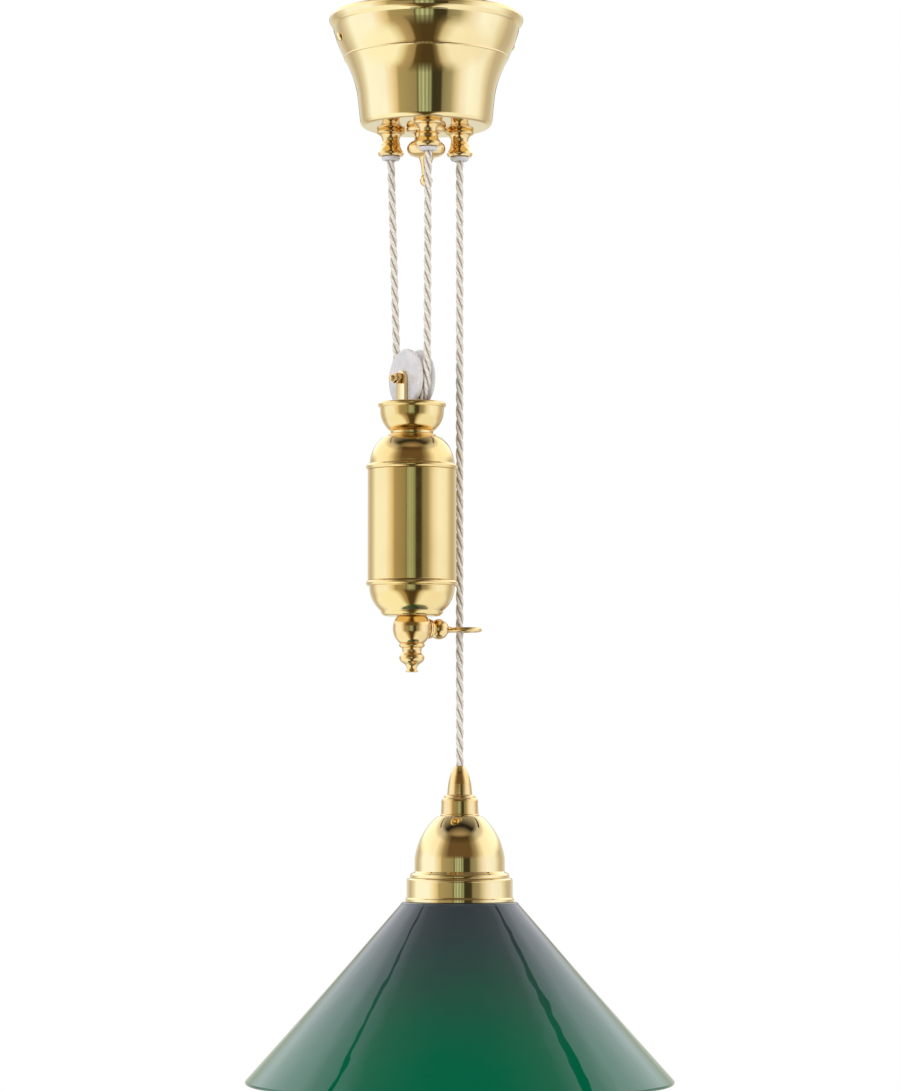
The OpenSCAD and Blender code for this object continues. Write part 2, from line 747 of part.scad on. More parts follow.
module weight_bolt() {
    tail = yoke_out + yoke_nut_h + yoke_jam_h + yoke_bolt_proud;
    cap_z = yoke_bolt_head_h + yoke_bolt_cap_h;
    color(turned_brass) at_weight_pulley() rotate([0, 90, 0]) {
        translate([0, 0, -tail]) cylinder(r = weight_axle_r, h = tail + yoke_out + 0.1, $fn = fine);
        translate([0, 0, yoke_out]) turned(concat(
            [[0, 0], [yoke_bolt_head_r, 0], [yoke_bolt_head_r, yoke_bolt_head_h],
             [yoke_bolt_cap_r, yoke_bolt_head_h]],
            arc([yoke_bolt_cap_r, cap_z - yoke_bolt_cap_r], [0, cap_z], -yoke_bolt_cap_r * 0.29)
        ));
    }
}

module weight_bolt_nuts() {
    color(turned_brass) at_weight_pulley() mirror([1, 0, 0]) rotate([0, 90, 0]) {
        translate([0, 0, yoke_out]) hex_nut(yoke_nut_af, yoke_nut_h, weight_axle_r + thread_gap);
        translate([0, 0, yoke_out + yoke_nut_h + seat_gap]) rotate(30)
            hex_nut(yoke_jam_af, yoke_jam_h, weight_axle_r + thread_gap);
    }
}

module weight_yoke() {
    leg = axle_z - yoke_foot_z;
    color(polished_brass) difference() {
        at_weight_pulley() {
            for (side = [0, 1]) mirror([side, 0, 0]) translate([yoke_in, 0, 0]) {
                rotate([0, 90, 0]) cylinder(r = yoke_w / 2, h = yoke_t, $fn = fine);
                translate([0, -yoke_w / 2, -leg]) cube([yoke_t, yoke_w, leg]);
            }
            translate([-yoke_out, -yoke_w / 2, -leg]) cube([2 * yoke_out, yoke_w, yoke_t]);
        }
        at_weight_pulley() translate([-yoke_out - 1, 0, 0]) rotate([0, 90, 0])
            cylinder(r = weight_axle_r + thread_gap, h = 2 * yoke_out + 2, $fn = fine);
        at_weight() translate([0, 0, yoke_foot_z - 1]) cylinder(r = rod_r + seat_gap, h = yoke_t + 2, $fn = fine);
    }
}

// Funnel's side from under the lip down to a foot; the inside is the same line drawn in by the wall
function funnel_side(inset, foot_r, foot) =
    arc([funnel_r - inset, lip_z - 4.6], [foot_r, foot], 1.4);

module funnel() {
    color(polished_brass) at_weight() difference() {
        turned(concat(
            [[0, lip_z - 0.6], [funnel_lip_r - 1.6, lip_z - 0.6]],
            arc([funnel_lip_r - 1.4, lip_z], [funnel_lip_r - 1.2, lip_z - 3.2], 1.2),
            funnel_side(0, funnel_foot_r + 0.8, funnel_foot_z + 2.1),
            [[funnel_foot_r, funnel_foot_z + 1.7], [funnel_foot_r, funnel_foot_z], [0, funnel_foot_z]]
        ));
        turned(concat(
            [[0, lip_z + 1], [funnel_lip_r - 2.2, lip_z + 1], [funnel_lip_r - 2.2, lip_z - 1]],
            funnel_side(weight_wall, funnel_foot_r, yoke_foot_z),
            [[0, yoke_foot_z]]
        ));
        translate([0, 0, funnel_foot_z - 1]) cylinder(r = rod_r + seat_gap, h = 5, $fn = fine);
    }
}

module rod_nut() {
    color(steel) at_weight() translate([0, 0, yoke_foot_z + yoke_t])
        hex_nut(rod_r * 10 / 3, 3, rod_r + thread_gap);
}

module tie_rod() {
    top = yoke_foot_z + yoke_t + 3.4;
    color(steel) at_weight() translate([0, 0, ball_z + 2]) cylinder(r = rod_r, h = top - ball_z - 2, $fn = fine);
}

shoulder_top_t = 3.2;
base_floor_t = 1.8;

function shoulder_inside(gap) = arc(
    [shoulder_top_r - 1 - gap, funnel_foot_z - shoulder_top_t - 0.6 - gap],
    [barrel_r - 1 - weight_wall - gap, bead_top_z - gap], 1.7);

function base_side(inset) =
    arc([barrel_r - 0.9 - inset, base_top_z], [base_ring_r - inset, base_foot_z + 3 + inset * 0.2], 1.7);

module weight_shoulder() {
    top = funnel_foot_z - seat_gap;
    color(polished_brass) at_weight() difference() {
        turned(concat(
            [[0, top], [weight_ring_r - 0.3, top]],
            arc([weight_ring_r, top - 0.3], [weight_ring_r, top - 1.5], 0.3),
            arc([shoulder_top_r, top - 1.8], [barrel_r - 0.9, bead_top_z], 1.8),
            arc([barrel_r, bead_top_z], [barrel_r, barrel_top_z], bead_proud),
            [[0, barrel_top_z]]
        ));
        turned(concat(
            [[0, top - shoulder_top_t], [shoulder_top_r - 1.4, top - shoulder_top_t]],
            shoulder_inside(0),
            [[barrel_r - weight_wall, barrel_top_z - 1], [0, barrel_top_z - 1]]
        ));
        translate([0, 0, top - 4]) cylinder(r = rod_r + seat_gap, h = 6, $fn = fine);
    }
}

module weight_barrel() {
    color(polished_brass) at_weight()
        tube(barrel_r, barrel_r - weight_wall, barrel_top_z - seat_gap, barrel_foot_z + seat_gap);
}

module weight_base() {
    color(polished_brass) at_weight() difference() {
        turned(concat(
            [[0, barrel_foot_z]],
            arc([barrel_r, barrel_foot_z], [barrel_r, base_top_z], bead_proud),
            base_side(0),
            arc([base_ring_r - 0.1, base_foot_z + 2.5], [base_ring_r - 2.7, base_foot_z], 0.55),
            [[0, base_foot_z]]
        ));
        turned(concat(
            [[0, barrel_foot_z + 1], [barrel_r - weight_wall, barrel_foot_z + 1], [barrel_r - weight_wall, base_top_z]],
            base_side(weight_wall),
            [[base_ring_r - weight_wall - 0.6, base_foot_z + base_floor_t], [0, base_foot_z + base_floor_t]]
        ));
        translate([0, 0, base_foot_z - 1]) cylinder(r = rod_r + seat_gap, h = 6, $fn = fine);
    }
}

module iron_slug() {
    side_r = barrel_r - weight_wall - slug_gap;
    foot = base_foot_z + base_floor_t + slug_gap;
    head = funnel_foot_z - shoulder_top_t - slug_gap * 4;
    color(iron) at_weight() difference() {
        turned(concat(
            [[0, head]],
            shoulder_inside(slug_gap * 2),
            [[side_r, barrel_top_z - 2], [side_r, base_top_z + 1]],
            base_side(weight_wall + slug_gap * 2),
            [[base_ring_r - weight_wall * 2 - slug_gap * 2, foot], [0, foot]]
        ));
        translate([0, 0, foot - 1]) cylinder(r = rod_r + 0.3, h = head - foot + 2, $fn = fine);
    }
}

module weight_finial() {
    top = base_foot_z - seat_gap;
    ball_foot = ball_z - ball_r * 0.76;
    color(turned_brass) at_weight() difference() {
        turned(concat(
            [[0, top]],
            [for (a = [40:-10:-50]) [ball_r * cos(a), ball_z + (a == 40 ? top - ball_z : ball_r * sin(a))]],
            arc([tail_bead_r - 0.6, ball_foot], [tail_bead_r - 0.8, ball_foot - tail_h * 0.15], 0.8),
            arc([tail_bead_r - 1.4, ball_foot - tail_h * 0.17], [tail_bead_r - 1.4, ball_foot - tail_h * 0.36], -0.5),
            arc([tail_bead_r - 1, ball_foot - tail_h * 0.38], [tail_bead_r - 1.6, ball_foot - tail_h * 0.66], 1.2),
            arc([tail_bead_r - 2, ball_foot - tail_h * 0.68], [2.8, ball_foot - tail_h * 0.88], -0.5),
            [[3.4, ball_foot - tail_h * 0.94], [3.4, ball_foot - tail_h + 0.3], [3, ball_foot - tail_h],
             [0, ball_foot - tail_h]]
        ));
        translate([0, 0, ball_z]) cylinder(r = rod_r + thread_gap, h = ball_r + 2, $fn = fine);
        translate([0, 0, ball_z]) rotate([0, 90, weight_axle_a]) {
            cylinder(r = 2 + thread_gap, h = ball_r + 2, $fn = fine);
            translate([0, 0, washer_seat]) cylinder(r = washer_r + seat_gap, h = ball_r, $fn = fine);
        }
    }
}

// ---- Guide eye on the side of the ball ----

washer_seat = ball_r * 0.88;
boss_start = washer_seat + 2 * washer_t;
boss_mid = boss_start + boss_r * 0.95;
eye_mid = boss_mid + boss_r + eye_neck_l + eye_r + eye_wire_r;

module at_eye() {
    translate([weight_p[0], weight_p[1], ball_z]) rotate([0, 90, weight_axle_a]) children();
}

module eye_washers() {
    color(turned_brass) at_eye() for (i = [0, 1]) translate([0, 0, washer_seat + i * washer_t + 0.05]) difference() {
        cylinder(r = washer_r - 0.4 * i, h = washer_t - 0.1);
        translate([0, 0, -1]) cylinder(r = 2 + thread_gap, h = washer_t + 2, $fn = fine);
    }
}

module guide_eye() {
    color(turned_brass) {
        at_eye() {
            translate([0, 0, rod_r + 1]) cylinder(r = 2, h = boss_mid - rod_r - 1, $fn = fine);
            intersection() {
                translate([0, 0, boss_mid]) sphere(r = boss_r);
                translate([0, 0, boss_start]) cylinder(r = boss_r + 1, h = 2 * boss_r);
            }
            translate([0, 0, boss_mid]) cylinder(r = eye_wire_r + 0.5, h = boss_r + eye_neck_l + eye_wire_r, $fn = fine);
        }
        translate([weight_p[0], weight_p[1], ball_z]) rotate(weight_axle_a) translate([eye_mid, 0, 0])
            rotate_extrude() translate([eye_r, 0]) circle(r = eye_wire_r, $fn = fine);
    }
}

// ---- Lamp head ----

nipple_top_z = grip_foot_z + nipple_in_grip;
nut_top_z = dome_top_z - lamp_wall - seat_gap;
nut_foot_z = nut_top_z - nipple_nut_h;
holder_top_z = nut_foot_z - seat_gap;
holder_cap_z = dome_foot_z + 4.5;

module cord_grip() {
    color(turned_brass) at_lamp() difference() {
        turned(concat(
            [[0, -lamp_drop], [cord_r + 1, -lamp_drop]],
            arc([cord_r + 1.4, -lamp_drop - 0.4], [grip_foot_r, grip_foot_z + 4], 0.9),
            [[grip_foot_r, grip_foot_z], [0, grip_foot_z]]
        ));
        translate([0, 0, -lamp_drop - grip_h - 1]) cylinder(r = cord_r + cord_gap, h = grip_h + 2, $fn = fine);
        translate([0, 0, grip_foot_z - 1]) cylinder(r = nipple_r + thread_gap, h = nipple_in_grip + seat_gap + 1, $fn = fine);
    }
}

module lamp_collar() {
    top = grip_foot_z - seat_gap;
    foot = dome_top_z + seat_gap;
    color(turned_brass) at_lamp() difference() {
        turned(concat(
            [[0, top], [grip_foot_r + 1, top]],
            arc([grip_foot_r + 1.3, top - 0.3], [collar_r - 1.7, top - 1.9], 0.2),
            arc([collar_r - 0.8, top - 2.2], [collar_r - 0.1, top - 4.2], 0.3),
            [[collar_r, foot + 1.2], [collar_r + 0.4, foot + 0.8], [collar_r + 0.4, foot], [0, foot]]
        ));
        translate([0, 0, foot - 1]) cylinder(r = nipple_r + thread_gap, h = collar_h + 2, $fn = fine);
    }
}

module lamp_nipple() {
    color(polished_brass) at_lamp() tube(nipple_r, nipple_bore_r, nipple_top_z, holder_top_z - holder_hub_h);
}

function dome_side(inset) = concat(
    arc([dome_top_r - inset, dome_top_z - 0.5 - inset], [dome_r - inset, dome_top_z - dome_h * 0.69], 2.6),
    [[dome_r - inset, dome_foot_z + 3.8]]
);

module lamp_dome() {
    foot_r = gallery_r - 1.9;
    color(polished_brass) at_lamp() difference() {
        turned(concat(
            [[0, dome_top_z], [dome_top_r - 0.5, dome_top_z]],
            dome_side(0),
            arc([dome_r + 0.4, dome_foot_z + 3.4], [foot_r, dome_foot_z + 0.4], 0.9),
            [[foot_r, dome_foot_z + seat_gap], [0, dome_foot_z + seat_gap]]
        ));
        turned(concat(
            [[0, dome_top_z - lamp_wall], [dome_top_r - lamp_wall - 0.8, dome_top_z - lamp_wall]],
            dome_side(lamp_wall),
            [[dome_r - lamp_wall, dome_foot_z - 1], [0, dome_foot_z - 1]]
        ));
        translate([0, 0, dome_top_z - 3]) cylinder(r = nipple_r + seat_gap, h = 5, $fn = fine);
    }
}

module nipple_nut() {
    color(steel) at_lamp() translate([0, 0, nut_foot_z]) hex_nut(nipple_nut_af, nipple_nut_h, nipple_r + thread_gap);
}

module gallery_ring() {
    foot = dome_foot_z - gallery_h;
    color(polished_brass) at_lamp() difference() {
        turned(concat(
            [[0, dome_foot_z], [gallery_r - 0.8, dome_foot_z]],
            arc([gallery_r - 0.4, dome_foot_z - 0.1], [gallery_r, dome_foot_z - 1.2], 0.2),
            [[gallery_r, foot + 3]],
            arc([gallery_r + 0.2, foot + 2.4], [gallery_r + 0.5, foot], 0.4),
            [[0, foot]]
        ));
        turned([[0, dome_foot_z - lamp_wall], [gallery_r - lamp_wall, dome_foot_z - lamp_wall],
                [gallery_r - lamp_wall, foot - 1], [0, foot - 1]]);
        translate([0, 0, foot]) cylinder(r = dome_r - lamp_wall, h = gallery_h + 1);
    }
}

// ---- Shade ----

module glass_shade() {
    foot_z = shade_top_z - shade_h;
    slope = atan((shade_mouth_r - shade_top_r) / shade_h);
    wall_r = shade_wall / cos(slope);
    color(cased_green) at_lamp() turned(concat(
        [[shade_hole_r, shade_top_z], [shade_top_r - 2.4, shade_top_z]],
        arc([shade_top_r - 2.4, shade_top_z], [shade_top_r, shade_top_z - 1.4], 0.5),
        arc([shade_mouth_r, foot_z + 1.9], [shade_mouth_r - wall_r + 0.4, foot_z + 1.3], 1.8),
        [[shade_top_r + 1 - wall_r, plate_foot_z], [shade_hole_r, plate_foot_z]]
    ));
}

module shade_ring() {
    top = plate_foot_z - seat_gap;
    color(polished_brass) at_lamp() tube(shade_ring_r, holder_r + thread_gap, top, top - shade_ring_h);
}

// ---- Lampholder ----

module holder_cap() {
    shoulder_z = holder_top_z - holder_hub_h;
    inner_r = holder_cap_r - holder_cap_wall;
    inner_z = shoulder_z - holder_cap_wall;
    color(polished_brass) at_lamp() difference() {
        turned(concat(
            [[0, holder_top_z], [nipple_r + 2, holder_top_z], [nipple_r + 2, shoulder_z]],
            arc([nipple_r + 3, shoulder_z], [holder_cap_r, shoulder_z - holder_dome_h], 2.4),
            [[holder_cap_r, holder_cap_z - 4.5], [0, holder_cap_z - 4.5]]
        ));
        turned(concat(
            [[0, inner_z], [nipple_r + 2, inner_z]],
            arc([nipple_r + 3, inner_z], [inner_r, inner_z - holder_dome_h], 2.2),
            [[inner_r, holder_cap_z - 6], [0, holder_cap_z - 6]]
        ));
        translate([0, 0, holder_cap_z]) cylinder(r = nipple_r + thread_gap, h = holder_top_z - holder_cap_z + 1, $fn = fine);
    }
}

module holder_barrel() {
    top = holder_cap_z - 4.5 - seat_gap;
    color(porcelain) at_lamp() difference() {
        turned([[0, top], [holder_cap_r, top], [holder_r, top - 1.2], [holder_r, holder_mouth_z + 0.8],
                [holder_r - 0.8, holder_mouth_z], [0, holder_mouth_z]]);
        translate([0, 0, holder_mouth_z - 1])
            cylinder(r = socket_r + 1, h = top - holder_mouth_z + 2);
    }
}

module holder_core() {
    top = holder_cap_z - 4.5 - seat_gap;
    color(porcelain) at_lamp() difference() {
        translate([0, 0, socket_floor_z + 0.8]) cylinder(r = socket_r + 0.9, h = top - socket_floor_z - 0.8);
        for (side = [-1, 1]) translate([7.5 * side, 0, socket_floor_z - 1])
            cylinder(r = 1.6, h = top - socket_floor_z + 2, $fn = fine);
        translate([0, 0, top - 4]) cylinder(r = nipple_r, h = 6, $fn = fine);
    }
}

module screw_shell() {
    color(turned_brass) at_lamp()
        tube(socket_r + 0.6, socket_r, socket_floor_z - 2.6, holder_mouth_z + 1.5);
}

module centre_contact() {
    color(turned_brass) at_lamp() translate([0, 0, socket_floor_z - 2.2]) {
        cylinder(r = 3.4, h = 0.8, $fn = fine);
        cylinder(r = 1.6, h = 3, $fn = fine);
    }
}

ceiling_strap();
ceiling_cup();
cup_screws();
front_bushing();
right_bushing();
left_bushing();
front_liner();
right_liner();
left_liner();
bushing_locknuts();
cup_finial();
pulley_bracket();
ceiling_pulley();
ceiling_axle();
ceiling_axle_nut();
terminal_block();
terminal_screws();
cord_anchor();
anchor_screw();
left_cord();
front_cord();
lamp_cord();
cord_over_ceiling_pulley();
cord_under_weight_pulley();
weight_pulley();
weight_bolt();
weight_bolt_nuts();
weight_yoke();
funnel();
rod_nut();
tie_rod();
weight_shoulder();
weight_barrel();
weight_base();
iron_slug();
weight_finial();
eye_washers();
guide_eye();
cord_grip();
lamp_collar();
lamp_nipple();
lamp_dome();
nipple_nut();
gallery_ring();
holder_cap();
holder_barrel();
holder_core();
screw_shell();
centre_contact();
shade_ring();
glass_shade();
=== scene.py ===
"""Looks of a rise and fall pendant: a brass ceiling cup, a counterweight on a twisted flex, and a lamp with a
cased glass shade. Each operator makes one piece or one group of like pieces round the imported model."""

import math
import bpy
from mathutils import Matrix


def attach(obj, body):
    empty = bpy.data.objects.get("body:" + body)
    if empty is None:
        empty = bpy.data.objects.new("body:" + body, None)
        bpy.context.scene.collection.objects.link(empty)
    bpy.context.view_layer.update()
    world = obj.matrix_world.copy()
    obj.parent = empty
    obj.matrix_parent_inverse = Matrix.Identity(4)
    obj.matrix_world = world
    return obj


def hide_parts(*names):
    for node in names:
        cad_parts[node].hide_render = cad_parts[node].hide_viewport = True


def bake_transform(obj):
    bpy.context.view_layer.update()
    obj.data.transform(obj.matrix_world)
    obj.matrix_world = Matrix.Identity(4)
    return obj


bl_info = {
    "name": "Rise and fall pendant",
    "version": (1, 0, 0),
    "blender": (4, 5, 0),
    "location": "3D View > Sidebar > Pendant",
    "description": "Brass, porcelain, flex and cased glass for a counterweighted pendant",
    "category": "Object",
}

from functools import partial

import bmesh
import bpy
from bpy.props import FloatProperty, FloatVectorProperty, IntProperty, PointerProperty
from mathutils import Matrix, Vector

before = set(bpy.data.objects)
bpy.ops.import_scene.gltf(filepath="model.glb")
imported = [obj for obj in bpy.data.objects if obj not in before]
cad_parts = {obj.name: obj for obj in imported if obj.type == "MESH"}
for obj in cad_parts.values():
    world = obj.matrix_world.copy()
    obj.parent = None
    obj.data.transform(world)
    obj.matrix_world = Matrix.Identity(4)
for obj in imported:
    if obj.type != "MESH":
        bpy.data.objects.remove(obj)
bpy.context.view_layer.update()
MM = 0.001

# ---- Places, in millimetres, as in the part's source ----


def polar(angle, r):
    a = math.radians(angle)
    return Vector((r * math.cos(a), r * math.sin(a), 0.0))


UP = Vector((0, 0, 1))
# The three bushings stand on one ring in the cup's floor.
RING_R = 23.5
FRONT_A, RIGHT_A, LEFT_A = -87.0, 33.0, 153.0
FRONT, RIGHT, LEFT = polar(FRONT_A, RING_R), polar(RIGHT_A, RING_R), polar(LEFT_A, RING_R)
CUP_FLOOR = -66.5
LINER_TIP = CUP_FLOOR - 18.1
STRAP_TURN = 16.5
# Heights along the flex: its fixed end, where its falls start to give, both wheels, the lamp's grip and its end.
FIXED_END, LEFT_GIVES, CEILING_AXLE_Z, WEIGHT_AXLE_Z, GRIP_TIP, LAMP_END = -11.5, -15.5, -28.0, -216.3, -442.0, -501.0
CEILING_WHEEL = (FRONT + RIGHT) / 2 + UP * CEILING_AXLE_Z
CEILING_AXLE = polar(FRONT_A + 60, 1.0)
CEILING_CORD_R = RING_R * math.sin(math.radians(60))
WEIGHT_AXLE = polar(RIGHT_A, 1.0)
WEIGHT_RUN = polar(RIGHT_A - 90, 1.0)
WEIGHT = (LEFT + FRONT) / 2 + WEIGHT_AXLE * 2.0
WEIGHT_WHEEL = WEIGHT + UP * WEIGHT_AXLE_Z
WEIGHT_CORD_R = 16.3
BALL = WEIGHT - UP * 362.27
BALL_R = 11.2


# ---- Sizes and colours that a user would change ----


def length(label, note, default):
    return FloatProperty(name=label, description=note, default=default, min=0.0, precision=5,
                         subtype="DISTANCE", unit="LENGTH")


def colour(label, note, default):
    return FloatVectorProperty(name=label, description=note, default=srgb(default), size=4, min=0.0, max=1.0,
                               subtype="COLOR")


def srgb(text):
    """Linear colour of an sRGB hex value."""
    parts = [int(text[i:i + 2], 16) / 255 for i in (1, 3, 5)]
    return tuple(c / 12.92 if c <= 0.04045 else ((c + 0.055) / 1.055) ** 2.4 for c in parts) + (1.0,)


class FlexSettings(bpy.types.PropertyGroup):
    strands: IntProperty(name="Strands", description="Covered cores laid round each other", default=3, min=2, max=5)
    strand_r: length("Strand radius", "Radius of one covered core", 0.00109)
    lay_r: length("Lay radius", "Distance from the flex's middle to a strand's middle", 0.00122)
    pitch: length("Pitch", "Length in which a strand goes once round", 0.0252)
    yarn: colour("Yarn", "Colour of the covering yarn", "#ece6dc")
    shade_yarn: colour("Shaded yarn", "Colour between the yarn's ribs", "#cfc5b7")
    # Painted shade: the colour laid deep between the strands, where shade falls.
    groove: colour("Groove", "Colour deep between the strands", "#9c8f81")


class BrassSettings(bpy.types.PropertyGroup):
    polished: colour("Polished", "Colour of the mirror polished spun brass", "#ebcd90")
    satin: colour("Satin", "Colour of the satin brass of the counterweight", "#e8c580")
    turned: colour("Turned", "Colour of the turned brass trim", "#e8c281")
    tarnish: colour("Tarnish", "Colour of the thin tarnish in patches", "#b98a48")
    edge: length("Edge rounding", "Rounding of the turned edges", 0.0003)
    ring_gap: length("Spinning marks", "Spacing of the fine marks left by the spinning tool", 0.0009)
    segments: IntProperty(name="Segments", description="Faces round a turned piece", default=160, min=24, max=256)


class GlassSettings(bpy.types.PropertyGroup):
    # The grey slate at the top is partly painted reflection.
    top: colour("Green at the top", "Colour where the cased green is thickest", "#353c40")
    mouth: colour("Green at the mouth", "Colour where the cased green is thinnest", "#025f40")
    opal: colour("Opal", "Colour of the opal lining", "#f3f2ec")
    wave: length("Wave height", "Height of the waves that blowing leaves in the skin", 0.00018)


class StageSettings(bpy.types.PropertyGroup):
    ambient: FloatProperty(name="Ambient", description="Strength of the even light from all round", default=0.62,
                           min=0.0, max=10.0)
    key: FloatProperty(name="Key light", description="Power of each soft light, in watts", default=26.0, min=0.0,
                       max=500.0)
    floor: FloatProperty(name="Floor height", description="Height of the floor in the row's frame", default=-1.25,
                         subtype="DISTANCE", unit="LENGTH")


# ---- Lines of turned profiles ----


def arc(p, q, sag, n=10):
    """Points from p to q on an arc that stands sag out to the left of the way. Going down a profile, left is out."""
    p, q = Vector(p), Vector(q)
    half = (q - p).length / 2
    along = (q - p).normalized()
    left = Vector((-along.y, along.x)) * (1 if sag > 0 else -1)
    r = (half * half + sag * sag) / (2 * abs(sag))
    middle = (p + q) / 2 - left * (r - abs(sag))
    sweep = 4 * math.atan(abs(sag) / half)
    turns = [-sweep / 2 + sweep * i / n for i in range(n + 1)]
    return [tuple(middle + left * r * math.cos(a) + along * r * math.sin(a)) for a in turns]


def ball_line(r, height, degrees):
    """Points of a ball's profile at these degrees over its middle."""
    return [(r * math.cos(math.radians(a)), height + r * math.sin(math.radians(a))) for a in degrees]


def soften(points, radius, closed=False, n=3):
    """The same line with its sharp corners rounded."""
    made, count = [], len(points)
    for i, p in enumerate(points):
        if not closed and i in (0, count - 1):
            made.append(p)
            continue
        a, b, c = Vector(points[i - 1]), Vector(p), Vector(points[(i + 1) % count])
        u, v = a - b, c - b
        if u.length < 1e-6 or v.length < 1e-6 or p[0] <= 0:
            made.append(p)
            continue
        turn = math.pi - u.angle(v)
        cut_back = min(radius * math.tan(turn / 2), u.length * 0.45, v.length * 0.45)
        if turn < 0.35 or cut_back < 0.01:
            made.append(p)
            continue
        start, end = b + u.normalized() * cut_back, b + v.normalized() * cut_back
        for k in range(n + 1):
            t = k / n
            made.append(tuple(start * (1 - t) ** 2 + b * 2 * t * (1 - t) + end * t * t))
    return made


def braced(points, closed=False):
    """The same line with a point close to each end of its long straights, so that shading keeps them flat."""
    made = []
    for i, p in enumerate(points):
        made.append(p)
        if i + 1 == len(points) and not closed:
            break
        a, b = Vector(p), Vector(points[(i + 1) % len(points)])
        if (b - a).length > 2.0:
            step = (b - a).normalized() * 0.25
            made += [tuple(a + step), tuple(b - step)]
    return made


def stretch(points, step=1.2):
    """Points no further apart than step along a line of corners."""
    made = [points[0]]
    for a, b in zip(points, points[1:]):
        count = max(1, math.ceil((b - a).length / step))
        made += [a.lerp(b, k / count) for k in range(1, count + 1)]
    return made


def round_wheel(middle, start, rise, r, count=60):
    """Points of half a turn round a wheel, from start through rise, which are directions from its middle."""
    turns = [math.pi * k / count for k in range(count + 1)]
    return [middle + start * (r * math.cos(t)) + rise * (r * math.sin(t)) for t in turns]


# ---- Nodes ----


def node(tree, kind, *ins, **settings):
    """Adds a node with its settings. Its inputs come in the order of its open sockets, or in a dict by name, and a
    node or a socket among them is linked. A kind without a family is a shader node."""
    made = tree.nodes.new(kind if "Node" in kind else "ShaderNode" + kind)
    for key, value in settings.items():
        setattr(made, key, value)
    by_name = ins[0].items() if ins and isinstance(ins[0], dict) else ()
    sockets = [(made.inputs[key], value) for key, value in by_name] or zip([s for s in made.inputs if s.enabled], ins)
    for socket, value in sockets:
        if isinstance(value, bpy.types.Node):
            value = next(s for s in value.outputs if s.enabled)
        if isinstance(value, bpy.types.NodeSocket):
            tree.links.new(value, socket)
        else:
            socket.default_value = value
    return made


def new_group(name, **sockets):
    """A geometry node tree with its named inputs: what adds its nodes, and what its inputs give."""
    tree = bpy.data.node_groups.new(name, "GeometryNodeTree")
    tree.interface.new_socket("Geometry", in_out="OUTPUT", socket_type="NodeSocketGeometry")
    for label, kind in {"Geometry": "Geometry", **sockets, "Material": "Material"}.items():
        tree.interface.new_socket(label.replace("_", " "), in_out="INPUT", socket_type="NodeSocket" + kind)
    return partial(node, tree), node(tree, "NodeGroupInput").outputs


def finish_group(add, geometry, given):
    """Ends a tree in Realize Instances and Set Material."""
    real = add("GeometryNodeRealizeInstances", geometry)
    dressed = add("GeometryNodeSetMaterial", {"Geometry": real, "Material": given["Material"]})
    return add("NodeGroupOutput", {"Geometry": dressed}).id_data


def turned_group():
    """Turns a profile line (x is the radius, z the height) about Z: one rule for every spun or turned piece."""
    add, given = new_group("turned piece", Segments="Int")
    line = given["Geometry"]
    count = add("GeometryNodeAttributeDomainSize", line, component="MESH")
    around = add("Math", given["Segments"], 1.0, operation="ADD")
    grid = add("GeometryNodeMeshGrid", 1.0, 1.0, around, count)
    across, along, _ = add("SeparateXYZ", add("GeometryNodeInputPosition")).outputs
    angle = add("Math", across, math.tau, math.pi, operation="MULTIPLY_ADD")
    share = add("Math", along, 0.5, operation="ADD")
    last = add("Math", count, 1.0, operation="SUBTRACT")
    place = add("Math", share, last, operation="MULTIPLY")
    index = add("FunctionNodeFloatToInt", place, rounding_mode="ROUND")
    point = add("GeometryNodeSampleIndex", line, add("GeometryNodeInputPosition"), index, data_type="FLOAT_VECTOR")
    radius, _, height = add("SeparateXYZ", point).outputs
    x, y = [add("Math", radius, add("Math", angle, operation=turn), operation="MULTIPLY")
            for turn in ("COSINE", "SINE")]
    spot = add("CombineXYZ", x, y, height)
    placed = add("GeometryNodeSetPosition", {"Geometry": grid, "Position": spot})
    closed = add("GeometryNodeMergeByDistance", {"Geometry": placed, "Distance": 2e-6})
    return finish_group(add, closed, given)


